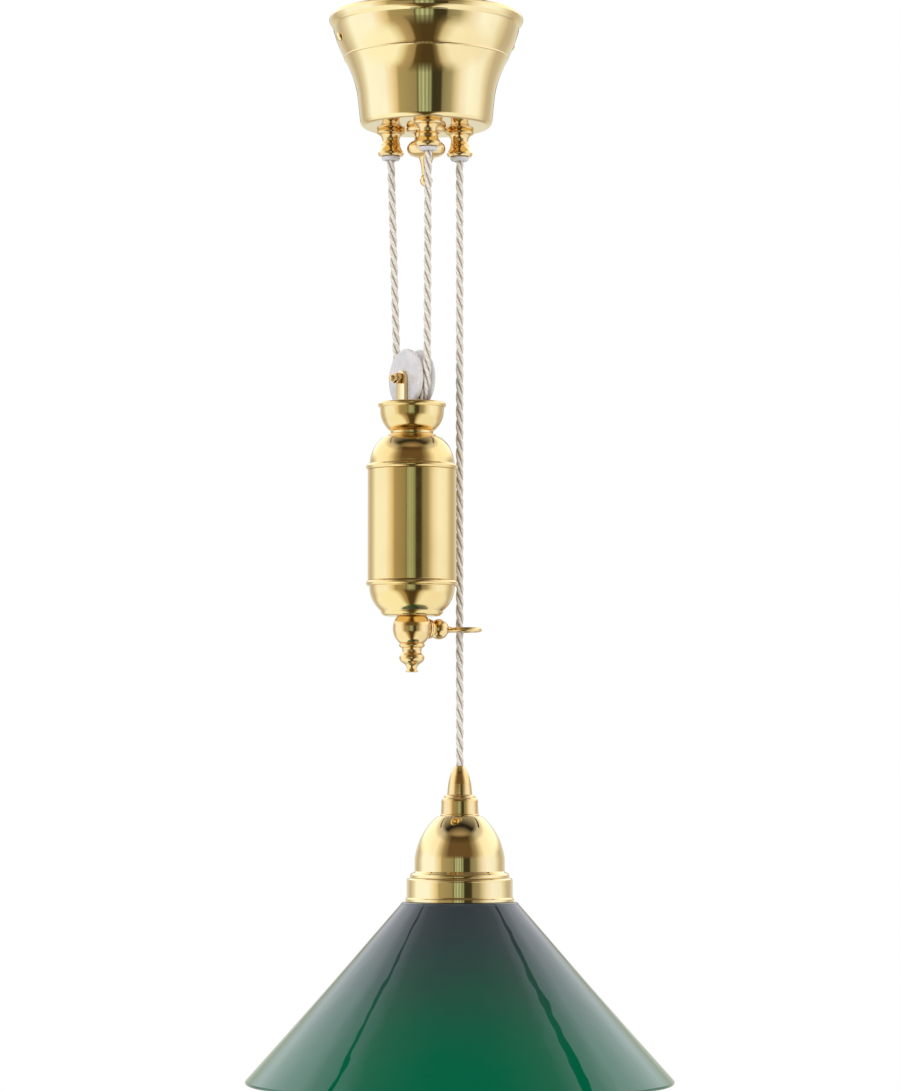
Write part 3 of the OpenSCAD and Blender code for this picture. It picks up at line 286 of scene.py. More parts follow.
def flex_group():
    """Lays round strands in a helix along a line. Side is a direction square to the line, which keeps the lay from
    drifting where one stretch of flex meets the next."""
    add, given = new_group("twisted flex", Strands="Int", Strand_radius="Float", Lay_radius="Float",
                           Pitch="Float", Phase="Float", Side="Vector")
    line = add("GeometryNodeMeshToCurve", given["Geometry"])
    strands = add("GeometryNodeDuplicateElements", {"Geometry": line, "Amount": given["Strands"]}, domain="SPLINE")
    run = add("GeometryNodeSplineParameter").outputs["Length"]
    turns = add("Math", run, given["Pitch"], operation="DIVIDE")
    share = add("Math", strands.outputs["Duplicate Index"], given["Strands"], operation="DIVIDE")
    whole = add("Math", turns, share, operation="ADD")
    shifted = add("Math", whole, given["Phase"], operation="ADD")
    angle = add("Math", shifted, math.tau, operation="MULTIPLY")
    tangent = add("GeometryNodeInputTangent")
    square = add("VectorMath", tangent, given["Side"], operation="CROSS_PRODUCT")
    one = add("VectorMath", square, operation="NORMALIZE")
    two = add("VectorMath", tangent, one, operation="CROSS_PRODUCT")
    a, b = [add("VectorMath", way, add("Math", angle, operation=turn), operation="SCALE")
            for way, turn in ((one, "COSINE"), (two, "SINE"))]
    out = add("VectorMath", a, b, operation="ADD")
    offset = add("VectorMath", out, given["Lay radius"], operation="SCALE")
    here = add("GeometryNodeInputPosition")
    middle = add("GeometryNodeStoreNamedAttribute", {"Geometry": strands, "Name": "middle", "Value": here},
                 data_type="FLOAT_VECTOR")
    laid = add("GeometryNodeSetPosition", {"Geometry": middle, "Offset": offset})
    kept = add("GeometryNodeStoreNamedAttribute", {"Geometry": laid, "Name": "along", "Value": run})
    ring = add("GeometryNodeCurvePrimitiveCircle", 12, given["Strand radius"])
    around = add("GeometryNodeSplineParameter").outputs["Factor"]
    rim = add("GeometryNodeStoreNamedAttribute", {"Geometry": ring, "Name": "round", "Value": around})
    skin = add("GeometryNodeCurveToMesh", {"Curve": kept, "Profile Curve": rim, "Fill Caps": True})
    # Each point's distance from the flex's middle, which the flex's material uses to paint shade between the strands.
    core = add("GeometryNodeInputNamedAttribute", "middle", data_type="FLOAT_VECTOR")
    out_by = add("VectorMath", here, core, operation="DISTANCE")
    deep = add("GeometryNodeStoreNamedAttribute", {"Geometry": skin, "Name": "out_by", "Value": out_by})
    return finish_group(add, add("GeometryNodeSetShadeSmooth", deep), given)


def repeat_group():
    """Puts the mesh of one fastener at each point of the line, turned by the point's own angles."""
    add, given = new_group("repeated fastener", Fastener="Object")
    one = add("GeometryNodeObjectInfo", given["Fastener"], True)
    turn = add("GeometryNodeInputNamedAttribute", "turn", data_type="FLOAT_VECTOR")
    placed = add("GeometryNodeInstanceOnPoints", {
        "Points": given["Geometry"], "Instance": one.outputs["Geometry"],
        "Rotation": add("FunctionNodeEulerToRotation", turn)})
    return finish_group(add, placed, given)


# ---- Meshes ----


def new_object(name, data):
    made = bpy.data.objects.new(name, data)
    bpy.context.scene.collection.objects.link(made)
    return made


def new_mesh(name, work):
    mesh = bpy.data.meshes.new(name)
    work.to_mesh(mesh)
    work.free()
    return mesh


def one_finish(mesh, material):
    """Leaves one material on a mesh."""
    mesh.materials.clear()
    mesh.materials.append(material)
    mesh.polygons.foreach_set("material_index", [0] * len(mesh.polygons))


def result(piece, material):
    """The plain mesh that comes out of a piece's modifiers, in one material."""
    bpy.context.view_layer.update()
    graph = bpy.context.evaluated_depsgraph_get()
    mesh = bpy.data.meshes.new_from_object(piece.evaluated_get(graph), depsgraph=graph)
    one_finish(mesh, material)
    return mesh


def smooth(mesh, sharp=38.0):
    """Shades a mesh smooth but for its real edges."""
    mesh.shade_smooth()
    mesh.set_sharp_from_angle(angle=math.radians(sharp))


# Each tree is built once and then used for all its pieces.
TREES = {}


def run_group(name, make_tree, verts, edges, finish, inputs, turns=None):
    """Feeds a line or points, in millimetres, to a tree and returns what comes out, as an object."""
    tree = TREES.get(make_tree) or TREES.setdefault(make_tree, make_tree())
    source = bpy.data.meshes.new(name + " line")
    source.from_pydata([Vector(v) * MM for v in verts], edges, [])
    if turns:
        held = source.attributes.new("turn", "FLOAT_VECTOR", "POINT")
        held.data.foreach_set("vector", [c for t in turns for c in t])
    maker = new_object(name + " maker", source)
    modifier = maker.modifiers.new("make", "NODES")
    modifier.node_group = tree
    inputs["Material"] = material(finish)
    for item in tree.interface.items_tree:
        if item.in_out == "INPUT" and item.name in inputs:
            modifier[item.identifier] = inputs[item.name]
    mesh = result(maker, inputs["Material"])
    mesh.name = name
    bpy.data.objects.remove(maker)
    if not mesh.polygons:
        raise RuntimeError(f"{name}: the tree made no faces")
    return new_object(name, mesh)


def tidy_mesh(piece, sharp=38.0):
    """Merges doubles, turns the faces outwards and shades the piece smooth but for its real edges."""
    work = bmesh.new()
    work.from_mesh(piece.data)
    bmesh.ops.remove_doubles(work, verts=work.verts, dist=2e-6)
    bmesh.ops.dissolve_degenerate(work, edges=work.edges, dist=1e-7)
    bmesh.ops.recalc_face_normals(work, faces=work.faces)
    work.to_mesh(piece.data)
    work.free()
    smooth(piece.data, sharp)
    return piece


def moved(x, y, z):
    """Matrix that moves by millimetres."""
    return Matrix.Translation((x * MM, y * MM, z * MM))


def turned_by(degrees, axis):
    return Matrix.Rotation(math.radians(degrees), 4, axis)


def on_axis(centre, axis=None):
    """Matrix that stands a turned piece's Z along axis at centre, both given in millimetres."""
    turn = axis.to_track_quat("Z", "Y").to_matrix().to_4x4() if axis else Matrix.Identity(4)
    return Matrix.Translation(centre * MM) @ turn


def turned(name, points, finish, place=None, closed=False, edge=None, segments=None):
    """One turned piece: its profile softened at the edges, turned about its axis and put in its place."""
    brass = bpy.context.scene.pendant_brass
    points = braced(soften(points, brass.edge / MM if edge is None else edge, closed), closed)
    edges = [(i, i + 1) for i in range(len(points) - 1 + closed)]
    piece = run_group(name, turned_group, [(max(r, 0.0), 0, z) for r, z in points + points[:closed]], edges, finish,
                      {"Segments": segments or brass.segments})
    if place:
        piece.data.transform(place)
    return tidy_mesh(piece)


def joined(name, pieces):
    """Joins finished meshes of one material into one piece."""
    work = bmesh.new()
    for p in pieces:
        work.from_mesh(p.data)
    mesh = new_mesh(name, work)
    one_finish(mesh, pieces[0].data.materials[0])
    for p in pieces:
        bpy.data.objects.remove(p)
    smooth(mesh)
    return new_object(name, mesh)


def cut(piece, cutters, operation="DIFFERENCE"):
    """Cuts the cutters' shapes out of a piece, or keeps only what lies inside them."""
    for c in cutters:
        hole = piece.modifiers.new("hole", "BOOLEAN")
        hole.object, hole.operation, hole.solver = c, operation, "EXACT"
    mesh = result(piece, piece.data.materials[0])
    piece.modifiers.clear()
    piece.data = mesh
    for c in cutters:
        bpy.data.objects.remove(c)
    smooth(mesh)
    return piece


def repeated(name, fastener, places, turns=None):
    """One mesh with the fastener at each place, given in millimetres, and the fastener itself taken away."""
    finish = finish_of(fastener)
    piece = run_group(name, repeat_group, places, [], finish, {"Fastener": fastener}, turns)
    bpy.data.objects.remove(fastener)
    return tidy_mesh(piece)


def seat(piece, body, *nodes):
    """Fixes a finished piece to its body and hides the nodes that it stands for."""
    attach(piece, body)
    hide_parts(*nodes)


# ---- Shapes that several pieces use ----


def rod(name, r, low, high, finish, place=None):
    """A plain round bar from low to high along its axis."""
    return turned(name, [(0, low), (r, low), (r, high), (0, high)], finish, place, edge=0.2, segments=64)


def hex_nut(across, high, bore, place):
    """A six-sided brass nut with the turned chamfer on both its faces."""
    corner = across / math.sqrt(3)
    bore = bore / math.cos(math.radians(30))
    nut = turned("nut", [(bore, 0), (corner, 0), (corner, high), (bore, high)], "turned", None, True, 0.05, 6)
    flat, wide = across * 0.48, corner * 1.03
    chamfer = turned("chamfer", [(0, 0), (flat, 0), (wide, high * 0.22), (wide, high * 0.78), (flat, high), (0, high)],
                     "turned", edge=0.0, segments=64)
    cut(nut, [chamfer], "INTERSECT")
    nut.data.transform(place)
    return tidy_mesh(nut, 20.0)


def plate(name, outline, thick, bevel, place):
    """A flat polished plate: an outline in its own XY, given its thickness along Z and rounded edges."""
    work = bmesh.new()
    face = work.faces.new([work.verts.new((x * MM, y * MM, 0)) for x, y in outline])
    raised = bmesh.ops.extrude_face_region(work, geom=[face])["geom"]
    bmesh.ops.translate(work, vec=(0, 0, thick * MM), verts=[g for g in raised if isinstance(g, bmesh.types.BMVert)])
    bmesh.ops.recalc_face_normals(work, faces=work.faces)
    rims = [e for e in work.edges if abs(e.verts[0].co.z - e.verts[1].co.z) < 1e-9]
    bmesh.ops.bevel(work, geom=rims, offset=bevel * MM, segments=3, profile=0.5, affect="EDGES")
    mesh = new_mesh(name, work)
    mesh.materials.append(material("polished"))
    mesh.transform(place)
    return tidy_mesh(new_object(name, mesh), 30.0)


def oblong(half_x, half_y):
    return [(-half_x, -half_y), (half_x, -half_y), (half_x, half_y), (-half_x, half_y)]


def grooved_wheel(name, flange, cord_circle, width, bore, place):
    """A porcelain wheel with a round groove for the flex and a raised hub on each side."""
    groove, crest, side = 2.5, width * 0.37, width / 2
    ledge = flange - width * 0.2
    line = ([(bore, -side)] + arc((ledge, -side), (flange, -crest), -0.5)
            + arc((flange, -crest + 0.3), (flange - 0.5, -groove - 0.6), -0.1, 4)
            + arc((cord_circle, -groove), (cord_circle, groove), groove, 24)
            + arc((flange - 0.5, groove + 0.6), (flange, crest - 0.3), -0.1, 4)
            + arc((flange, crest), (ledge, side), -0.5) + [(bore, side)])
    return turned(name, line, "porcelain", place, closed=True)


# ---- Materials ----


def new_material(name):
    """An empty material, what adds its nodes, and the piece's own coordinates in millimetres."""
    made = bpy.data.materials.new(name)
    made.use_nodes = True
    made.node_tree.nodes.clear()
    add = partial(node, made.node_tree)
    own = add("TexCoord").outputs["Object"]
    return made, add, add("Mapping", {"Vector": own, "Scale": (1000, 1000, 1000)})


def finished(made, inputs):
    """Ends a material in one shader with these inputs."""
    node(made.node_tree, "OutputMaterial", {"Surface": node(made.node_tree, "BsdfPrincipled", inputs)})
    return made


def mottled(add, here, size, one, two, low=0.0, high=1.0):
    """Two colours in soft blotches about this many millimetres wide."""
    cloud = add("MapRange", add("TexNoise", here, 1 / size, 3), low, high)
    return add("Mix", cloud, one, two, data_type="RGBA")


def sheen_of_brass(name, base, rough, marks, mark_height, blot):
    """Polished brass, an alloy of copper and zinc under clear lacquer. The tool leaves rings round the axis, the
    polish leaves soft blots of roughness, and the lacquer keeps the colour even, a little browner in patches."""
    made, add, here = new_material(name)
    patch = add("MapRange", add("TexNoise", here, 1 / blot, 3), 0.45, 0.8, 0.0, 0.16)
    smear = add("TexNoise", here, 1 / 5, 4, 0.6)
    # Real tool marks are near 0.2 mm apart; they are drawn as wide as the piece's setting says, so that they show.
    ring = add("CombineXYZ", {"Z": add("SeparateXYZ", here).outputs["Z"]})
    lines = add("TexNoise", ring, 1 / marks, 2, 0.7)
    return finished(made, {
        "Base Color": add("Mix", patch, base, bpy.context.scene.pendant_brass.tarnish, data_type="RGBA"),
        "Roughness": add("MapRange", smear, 0.3, 0.75, rough * 0.8, rough * 1.35),
        "Normal": add("Bump", {"Strength": 0.5, "Distance": mark_height, "Height": lines}),
        "Metallic": 1.0, "Coat Weight": 0.5, "Coat Roughness": 0.06})


def polished_spun_brass(name):
    """Spun sheet brass, buffed to a mirror: crisp reflections with the faintest rings."""
    brass = bpy.context.scene.pendant_brass
    return sheen_of_brass(name, brass.polished, 0.045, brass.ring_gap / MM, 0.000006, 22.0)


def satin_brass(name):
    """Drawn brass tube finished with a fine abrasive, so its reflections run together into soft bands."""
    brass = bpy.context.scene.pendant_brass
    return sheen_of_brass(name, brass.satin, 0.12, brass.ring_gap / MM * 0.8, 0.000006, 30.0)


def turned_brass(name):
    """Solid brass bar turned and buffed: bright on every bead."""
    brass = bpy.context.scene.pendant_brass
    return sheen_of_brass(name, brass.turned, 0.11, brass.ring_gap / MM, 0.000002, 8.0)


def glazed_porcelain(name):
    """Glazed porcelain: a white body under a glassy glaze with a very slight orange peel."""
    made, add, here = new_material(name)
    peel = add("TexNoise", here, 1 / 2.2, 3)
    return finished(made, {
        "Base Color": mottled(add, here, 9, srgb("#dcd8d5"), srgb("#cdc8c8"), 0.35, 0.7),
        "Normal": add("Bump", {"Strength": 0.25, "Distance": 0.00005, "Height": peel}),
        "Roughness": 0.09, "IOR": 1.52, "Subsurface Weight": 0.08, "Subsurface Scale": 0.002})


def silk_covered_flex(name):
    """Flex covered in artificial silk: fine yarns run round each core, matt with a soft sheen along them."""
    flex = bpy.context.scene.pendant_flex
    made, add, here = new_material(name)
    along, around, out_by = [add("Attribute", attribute_name=key).outputs["Fac"]
                             for key in ("along", "round", "out_by")]
    # The yarns are 0.25 mm thick; they are drawn 0.6 mm apart, so that they show at this size.
    lean = add("Math", along, 1000 / 0.6 / 6, operation="MULTIPLY")
    turns = add("Math", around, 3.0, lean, operation="MULTIPLY_ADD")
    wave = add("Math", turns, math.tau, operation="MULTIPLY")
    ribs = add("Math", wave, operation="SINE")
    fuzz = add("TexNoise", here, 1 / 0.7, 3)
    both = add("Math", ribs, 0.35, fuzz, operation="MULTIPLY_ADD")
    tone = add("Mix", add("MapRange", both, 0.1, 0.7), flex.shade_yarn, flex.yarn, data_type="RGBA")
    # Painted shade: the flex is greyed towards the groove colour where its strands meet, where shade falls between
    # them.
    strand_shade = add("MapRange", out_by, 0.0013, 0.00215, 0.7, 0.0, interpolation_type="SMOOTHSTEP")
    return finished(made, {
        "Base Color": add("Mix", strand_shade, tone, flex.groove, data_type="RGBA"),
        "Normal": add("Bump", {"Strength": 0.35, "Distance": 0.00006, "Height": both}),
        "Roughness": 0.62, "Sheen Weight": 0.25, "Sheen Roughness": 0.4})


def cased_green_glass(name):
    """Opal glass cased in green and blown: glossy and deep green. Towards the neck the colour goes darker and grey,
    which is partly a painted reflection of the room laid into the green.
    """
    glass = bpy.context.scene.pendant_glass
    made, add, here = new_material(name)
    height = add("SeparateXYZ", here).outputs[2]
    drawn, blown = [add("Mapping", {"Vector": here, "Scale": (1, 1, z)}) for z in (0.35, 0.45)]
    streak = add("TexNoise", drawn, 1 / 16, 2)
    wander = add("Math", streak, 12.0, height, operation="MULTIPLY_ADD")
    # From the top colour at the neck to the mouth colour down the shade; the grey at the top is partly painted
    # reflection.
    thin = add("MapRange", wander, -518.0, -612.0, interpolation_type="SMOOTHSTEP")
    wave = add("TexNoise", blown, 1 / 13, 1)
    return finished(made, {
        "Base Color": add("Mix", thin, glass.top, glass.mouth, data_type="RGBA"),
        "Normal": add("Bump", {"Strength": 0.9, "Distance": glass.wave, "Height": wave}),
        "Roughness": 0.03, "IOR": 1.62})


def opal_glass(name):
    """Opal lining: milk white glass that scatters light, with a soft gloss."""
    made, add, here = new_material(name)
    milk = bpy.context.scene.pendant_glass.opal
    return finished(made, {
        "Base Color": mottled(add, here, 25, milk, srgb("#e4e9e2"), 0.35, 0.7),
        "Roughness": 0.16, "IOR": 1.5, "Subsurface Weight": 0.15, "Subsurface Scale": 0.004})


def zinc_plated_steel(name):
    """Zinc plated steel: pale grey with the faint mottle of the plating."""
    made, add, here = new_material(name)
    grain = add("TexNoise", here, 1 / 1.2, 3)
    return finished(made, {
        "Base Color": mottled(add, here, 3, srgb("#c9ccd0"), srgb("#a9adb2")),
        "Roughness": add("MapRange", grain, 0.3, 0.7, 0.25, 0.42), "Metallic": 1.0})


def grey_cast_iron(name):
    """Grey cast iron as it leaves the sand: dark, rough and grainy."""
    made, add, here = new_material(name)
    grain = add("TexNoise", here, 1 / 0.9, 5)
    return finished(made, {
        "Base Color": add("Mix", grain, srgb("#3a3b3d"), srgb("#55565a"), data_type="RGBA"),
        "Normal": add("Bump", {"Strength": 0.7, "Distance": 0.0002, "Height": grain}),
        "Roughness": 0.7, "Metallic": 0.85})


# Each finish, with its material's name, what makes it, and its slot in the record.
FINISHES = {
    "polished": ("polished spun brass", polished_spun_brass, "polished_brass"),
    "satin": ("satin brass", satin_brass, "satin_brass"), "turned": ("turned brass", turned_brass, "turned_brass"),
    "porcelain": ("glazed porcelain", glazed_porcelain, "porcelain"),
    "flex": ("silk covered flex", silk_covered_flex, "cord"),
    "green": ("cased green glass", cased_green_glass, "cased_glass"), "opal": ("opal glass", opal_glass, None),
    "zinc": ("zinc plated steel", zinc_plated_steel, None), "iron": ("grey cast iron", grey_cast_iron, None)}


def material(finish):
    label, make, _ = FINISHES[finish]
    return bpy.data.materials.get(label) or make(label)


def finish_of(piece):
    return next(key for key, row in FINISHES.items() if row[0] == piece.data.materials[0].name)


def dress(finish, *nodes):
    """Gives CAD nodes that stay as they are their material."""
    for n in nodes:
        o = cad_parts[n]
        if not o.material_slots:
            o.data.materials.append(material(finish))
        for s in o.material_slots:
            s.material = material(finish)


# ---- Light that shiny surfaces see ----

# Azimuth in degrees, from the camera's side to the right, and the light's red, green and blue or its grey.
LOW_LIGHT = [
    (-180, (0.84, 0.86, 0.74)), (-152, (0.80, 0.80, 0.70)), (-136, (0.62, 0.61, 0.58)), (-122, (0.85, 0.90, 0.90)),
    (-108, (1.2, 1.45, 1.9)), (-72, (1.2, 1.46, 2.0)), (-60, (1.1, 1.15, 1.2)), (-50, (0.85, 0.82, 0.68)),
    (-46, (0.50, 0.47, 0.33)), (-16, (0.36, 0.36, 0.26)), (-13.5, (0.10, 0.11, 0.07)), (-10.5, (0.62, 0.80, 0.68)),
    (-7.5, (0.26, 0.34, 0.26)), (-4.5, (0.70, 0.90, 0.80)), (-1.5, (0.24, 0.31, 0.24)), (1.5, (0.62, 0.80, 0.70)),
    (4.5, (0.20, 0.26, 0.20)), (7.5, (0.46, 0.60, 0.48)), (9.5, (0.10, 0.12, 0.08)), (11.5, (0.05, 0.05, 0.035)),
    (25, (0.06, 0.06, 0.04)), (28, (0.30, 0.31, 0.24)), (42, (0.44, 0.46, 0.40)), (50, (0.80, 0.85, 0.80)),
    (60, (1.1, 1.2, 1.5)), (76, (1.2, 1.46, 2.0)), (100, (1.15, 1.35, 1.7)), (112, (0.92, 0.98, 1.0)),
    (124, (0.66, 0.66, 0.64)), (138, (0.66, 0.66, 0.62)), (152, (0.80, 0.80, 0.70)), (180, (0.84, 0.86, 0.74))]
HIGH_LIGHT = [
    (-180, 0.5), (-172, 0.5), (-166, (1.6, 1.62, 1.66)), (-102, (1.4, 1.5, 1.7)), (-70, (1.25, 1.35, 1.5)),
    (-58, (0.9, 0.9, 0.8)), (-46, (0.44, 0.40, 0.30)), (-30, (0.17, 0.12, 0.07)), (30, (0.17, 0.12, 0.07)),
    (46, (0.44, 0.42, 0.32)), (58, (0.9, 0.92, 0.85)), (70, (1.25, 1.35, 1.5)), (102, (1.4, 1.5, 1.7)),
    (166, (1.6, 1.62, 1.66)), (172, 0.5), (180, 0.5)]
# Painted reflection that the floor shows to shiny surfaces, with a painted shadow in its dark middle.
FLOOR_LIGHT = [
    (-180, (0.65, 0.63, 0.55)), (-138, (0.62, 0.60, 0.54)), (-112, (1.2, 1.4, 1.6)), (-62, (1.2, 1.4, 1.6)),
    (-52, (0.9, 0.95, 0.85)), (-44, (0.56, 0.50, 0.36)), (-30, (0.42, 0.36, 0.24)), (-26, (0.13, 0.10, 0.045)),
    (-8, (0.09, 0.07, 0.035)), (18, (0.09, 0.07, 0.035)), (28, (0.25, 0.22, 0.14)), (36, (0.75, 0.76, 0.68)),
    (54, (1.15, 1.3, 1.5)), (108, (1.1, 1.25, 1.45)), (138, (0.52, 0.48, 0.44)), (180, (0.65, 0.63, 0.55))]
# Light over height, where 1 is straight up, and over depth across the ceiling, from front to back.
WALL_LIGHT = [(0.0, 1.0), (0.64, 1.0), (0.72, 0.66), (0.78, 0.55)]
CEILING_LIGHT = [(0.08, (0.50, 0.43, 0.31)), (0.35, 0.03), (0.44, 0.03), (0.84, (0.44, 0.44, 0.42))]
DOORWAY = (0.3, 0.27, 0.2, 1.0)


def ramp(add, share, stops):
    """A smooth run of tones or colours over a share from 0 to 1. A ramp holds at most 1, so half of each is kept."""
    made = add("ValToRGB", share)
    marks = made.color_ramp.elements
    while len(marks) < len(stops):
        marks.new(0.5)
    for mark, (place, tone) in zip(marks, stops):
        tone = tone if isinstance(tone, tuple) else (tone,) * 3
        mark.position, mark.color = place, tuple(t / 2 for t in tone) + (1.0,)
    return add("VectorMath", made, 2.0, operation="SCALE")


def bands(add, x, y, stops):
    """Light by the direction round the object, in which 0 is the camera's side."""
    back = add("Math", y, -1.0, operation="MULTIPLY")
    turn = add("Math", x, back, operation="ARCTAN2")
    share = add("MapRange", turn, -math.pi, math.pi)
    return ramp(add, share, [(degrees / 360 + 0.5, tone) for degrees, tone in stops])


# ---- Operators ----


class PENDANT_OT_stage(bpy.types.Operator):
    """Sets up the camera, the soft light and the pale floor"""
    bl_idname = "pendant.stage"
    bl_label = "Stage"

    def execute(self, context):
        stage, scene = context.scene.pendant_stage, context.scene
        scene.view_settings.view_transform = "Standard"
        eye = new_object("camera", bpy.data.cameras.new("camera"))
        # As the photograph's camera: 2.2 m away and looking 3.8 degrees up.
        eye.location = (0.01402, -2.2, -0.4589)
        eye.rotation_euler = (math.radians(90 + 3.783), 0, 0)
        eye.data.sensor_width, eye.data.lens, eye.data.clip_end = 36.0, 124.35, 50
        scene.camera = eye
        for name, side, power in (("left softbox", -1, 1.0), ("right softbox", 1, 0.9)):
            lamp = bpy.data.lights.new(name, "AREA")
            lamp.shape, lamp.size, lamp.size_y, lamp.energy = "RECTANGLE", 1.2, 1.8, stage.key * power
            box = new_object(name, lamp)
            box.location = (1.9 * side, -1.5, 0.25)
            box.rotation_euler = (Vector((0, 0, -0.4)) - box.location).to_track_quat("-Z", "Y").to_euler()
            box.visible_camera = box.visible_glossy = box.visible_transmission = False
        self.surroundings(stage)
        self.floor(stage)
        return {"FINISHED"}

    def surroundings(self, stage):
        """White to the camera. Shiny surfaces see two wide softboxes, the dark room between and above them, and the
        pale backdrop, which is brightest over the horizon."""
        world = bpy.context.scene.world = bpy.data.worlds.new("studio")
        world.use_nodes = True
        world.node_tree.nodes.clear()
        add = partial(node, world.node_tree)
        x, y, z = add("SeparateXYZ", add("TexCoord").outputs["Generated"]).outputs
        lit = add("Mix", add("MapRange", z, 0.18, 0.32), bands(add, x, y, LOW_LIGHT),
                  bands(add, x, y, HIGH_LIGHT), data_type="RGBA")
        wall = ramp(add, add("MapRange", z, 0.0, 1.0), WALL_LIGHT)
        # The dark frames of the two softboxes, thin lines in what the shade reflects.
        width = add("Math", x, 0.006, 0.014, operation="MULTIPLY_ADD")
        level = add("Math", z, 0.782, width, operation="COMPARE")
        back = add("Math", y, 0.12, operation="GREATER_THAN")
        line = add("Math", level, back, operation="MULTIPLY")
        shiny = add("VectorMath", lit, add("Mix", line, wall, 0.0), operation="SCALE")
        # Overhead the ceiling fades from the lit part in front to the dark middle, and is paler again behind.
        ceiling = ramp(add, add("MapRange", y, -0.6, 0.4), CEILING_LIGHT)
        shiny = add("Mix", add("MapRange", z, 0.79, 0.86), shiny, ceiling, data_type="RGBA")
        # The doorway straight behind is dark over eye level, and draws the brass's outlines.
        behind, over = [add("Math", way, limit, operation="GREATER_THAN")
                        for way, limit in ((y, 0.955), (z, 0.13))]
        door = add("Math", behind, over, operation="MULTIPLY")
        shiny = add("Mix", door, shiny, DOORWAY, data_type="RGBA")
        seen_by = add("LightPath").outputs
        mirror = add("Math", seen_by["Is Glossy Ray"], seen_by["Is Transmission Ray"], operation="MAXIMUM")
        even = add("Mix", mirror, (stage.ambient,) * 3 + (1.0,), shiny, data_type="RGBA")
        white = add("Mix", seen_by["Is Camera Ray"], even, srgb("#ffffff"), data_type="RGBA")
        add("OutputWorld", {"Surface": add("Background", white, 1.0)})

    def floor(self, stage):
        """A plain pale floor, matt like painted board, that takes the soft shadow."""
        made, add, here = new_material("painted board")
        pale = mottled(add, here, 60, srgb("#efeeec"), srgb("#e9e8e6"))
        board = add("BsdfPrincipled", {"Base Color": pale, "Roughness": 0.9})
        # To glossy rays the board glows with painted reflection: the softboxes' light in bands round the object, as the
        # walls show it.
        x, y, _ = add("SeparateXYZ", here).outputs
        far = add("VectorMath", add("CombineXYZ", x, y), operation="LENGTH")
        # The painted shadow in the middle of that glow narrows towards the object, as the shadow of something tall that
        # stands on the board.
        wide = add("Math", x, add("MapRange", far, 900, 3200, 2.0, 1.0), operation="MULTIPLY")
        mirror_glow = add("Mix", add("MapRange", far, 2300, 3900), bands(add, wide, y, FLOOR_LIGHT),
                   bands(add, x, y, LOW_LIGHT), data_type="RGBA")
        both = add("MixShader", add("LightPath").outputs["Is Glossy Ray"], board,
                   add("Emission", mirror_glow, 1.0))
        add("OutputMaterial", {"Surface": both})
        work = bmesh.new()
        bmesh.ops.create_grid(work, x_segments=1, y_segments=1, size=4.0)
        mesh = new_mesh("floor", work)
        mesh.transform(Matrix.Translation((0, 0, stage.floor)))
        mesh.materials.append(made)
        new_object("floor", mesh)


class PENDANT_OT_flex(bpy.types.Operator):
    """Lays the twisted flex over both wheels, as one cord in five stretches"""
    bl_idname = "pendant.flex"
    bl_label = "Twisted flex"

    def execute(self, context):
        flex = context.scene.pendant_flex
        low = WEIGHT_RUN * WEIGHT_CORD_R
        over = (RIGHT - FRONT).normalized()
        front_top, right_top = FRONT + UP * CEILING_AXLE_Z, RIGHT + UP * CEILING_AXLE_Z
        falls = [
            ("flex_left_fall", "left_cord", WEIGHT_AXLE, 0.0,
             stretch([LEFT + UP * FIXED_END, LEFT + UP * LINER_TIP, WEIGHT_WHEEL - low]),
             ("ceiling", "weight", (LEFT + UP * LEFT_GIVES) * MM, (LEFT + UP * WEIGHT_AXLE_Z) * MM)),
            ("flex_under_weight_wheel", "cord_under_weight_pulley", WEIGHT_AXLE, 0.0,
             round_wheel(WEIGHT_WHEEL, -WEIGHT_RUN, -UP, WEIGHT_CORD_R), ("weight",)),
            ("flex_front_fall", "front_cord", WEIGHT_AXLE, 0.0,
             stretch([WEIGHT_WHEEL + low, FRONT + UP * LINER_TIP, front_top]),
             ("ceiling", "weight", front_top * MM, (FRONT + UP * WEIGHT_AXLE_Z) * MM)),
            ("flex_over_ceiling_wheel", "cord_over_ceiling_pulley", CEILING_AXLE, 1 / 6,
             round_wheel(CEILING_WHEEL, -over, UP, CEILING_CORD_R), ("ceiling",)),
            ("flex_lamp_fall", "lamp_cord", CEILING_AXLE, 1 / 6, stretch([right_top, RIGHT + UP * LAMP_END]),
             ("ceiling", "lamp", right_top * MM, (RIGHT + UP * GRIP_TIP) * MM))]
        laid = 0.0
        for name, stands_for, side, turn, line, held in falls:
            run = sum((b - a).length for a, b in zip(line, line[1:])) * MM
            piece = run_group(name, flex_group, line, [(i, i + 1) for i in range(len(line) - 1)], "flex", {
                "Strands": flex.strands, "Strand radius": flex.strand_r, "Lay radius": flex.lay_r,
                "Pitch": -flex.pitch, "Phase": turn - laid / flex.pitch, "Side": side})
            laid += run
            if len(held) > 1:
                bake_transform(piece)
            else:
                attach(piece, *held)
            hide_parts(stands_for)
        return {"FINISHED"}


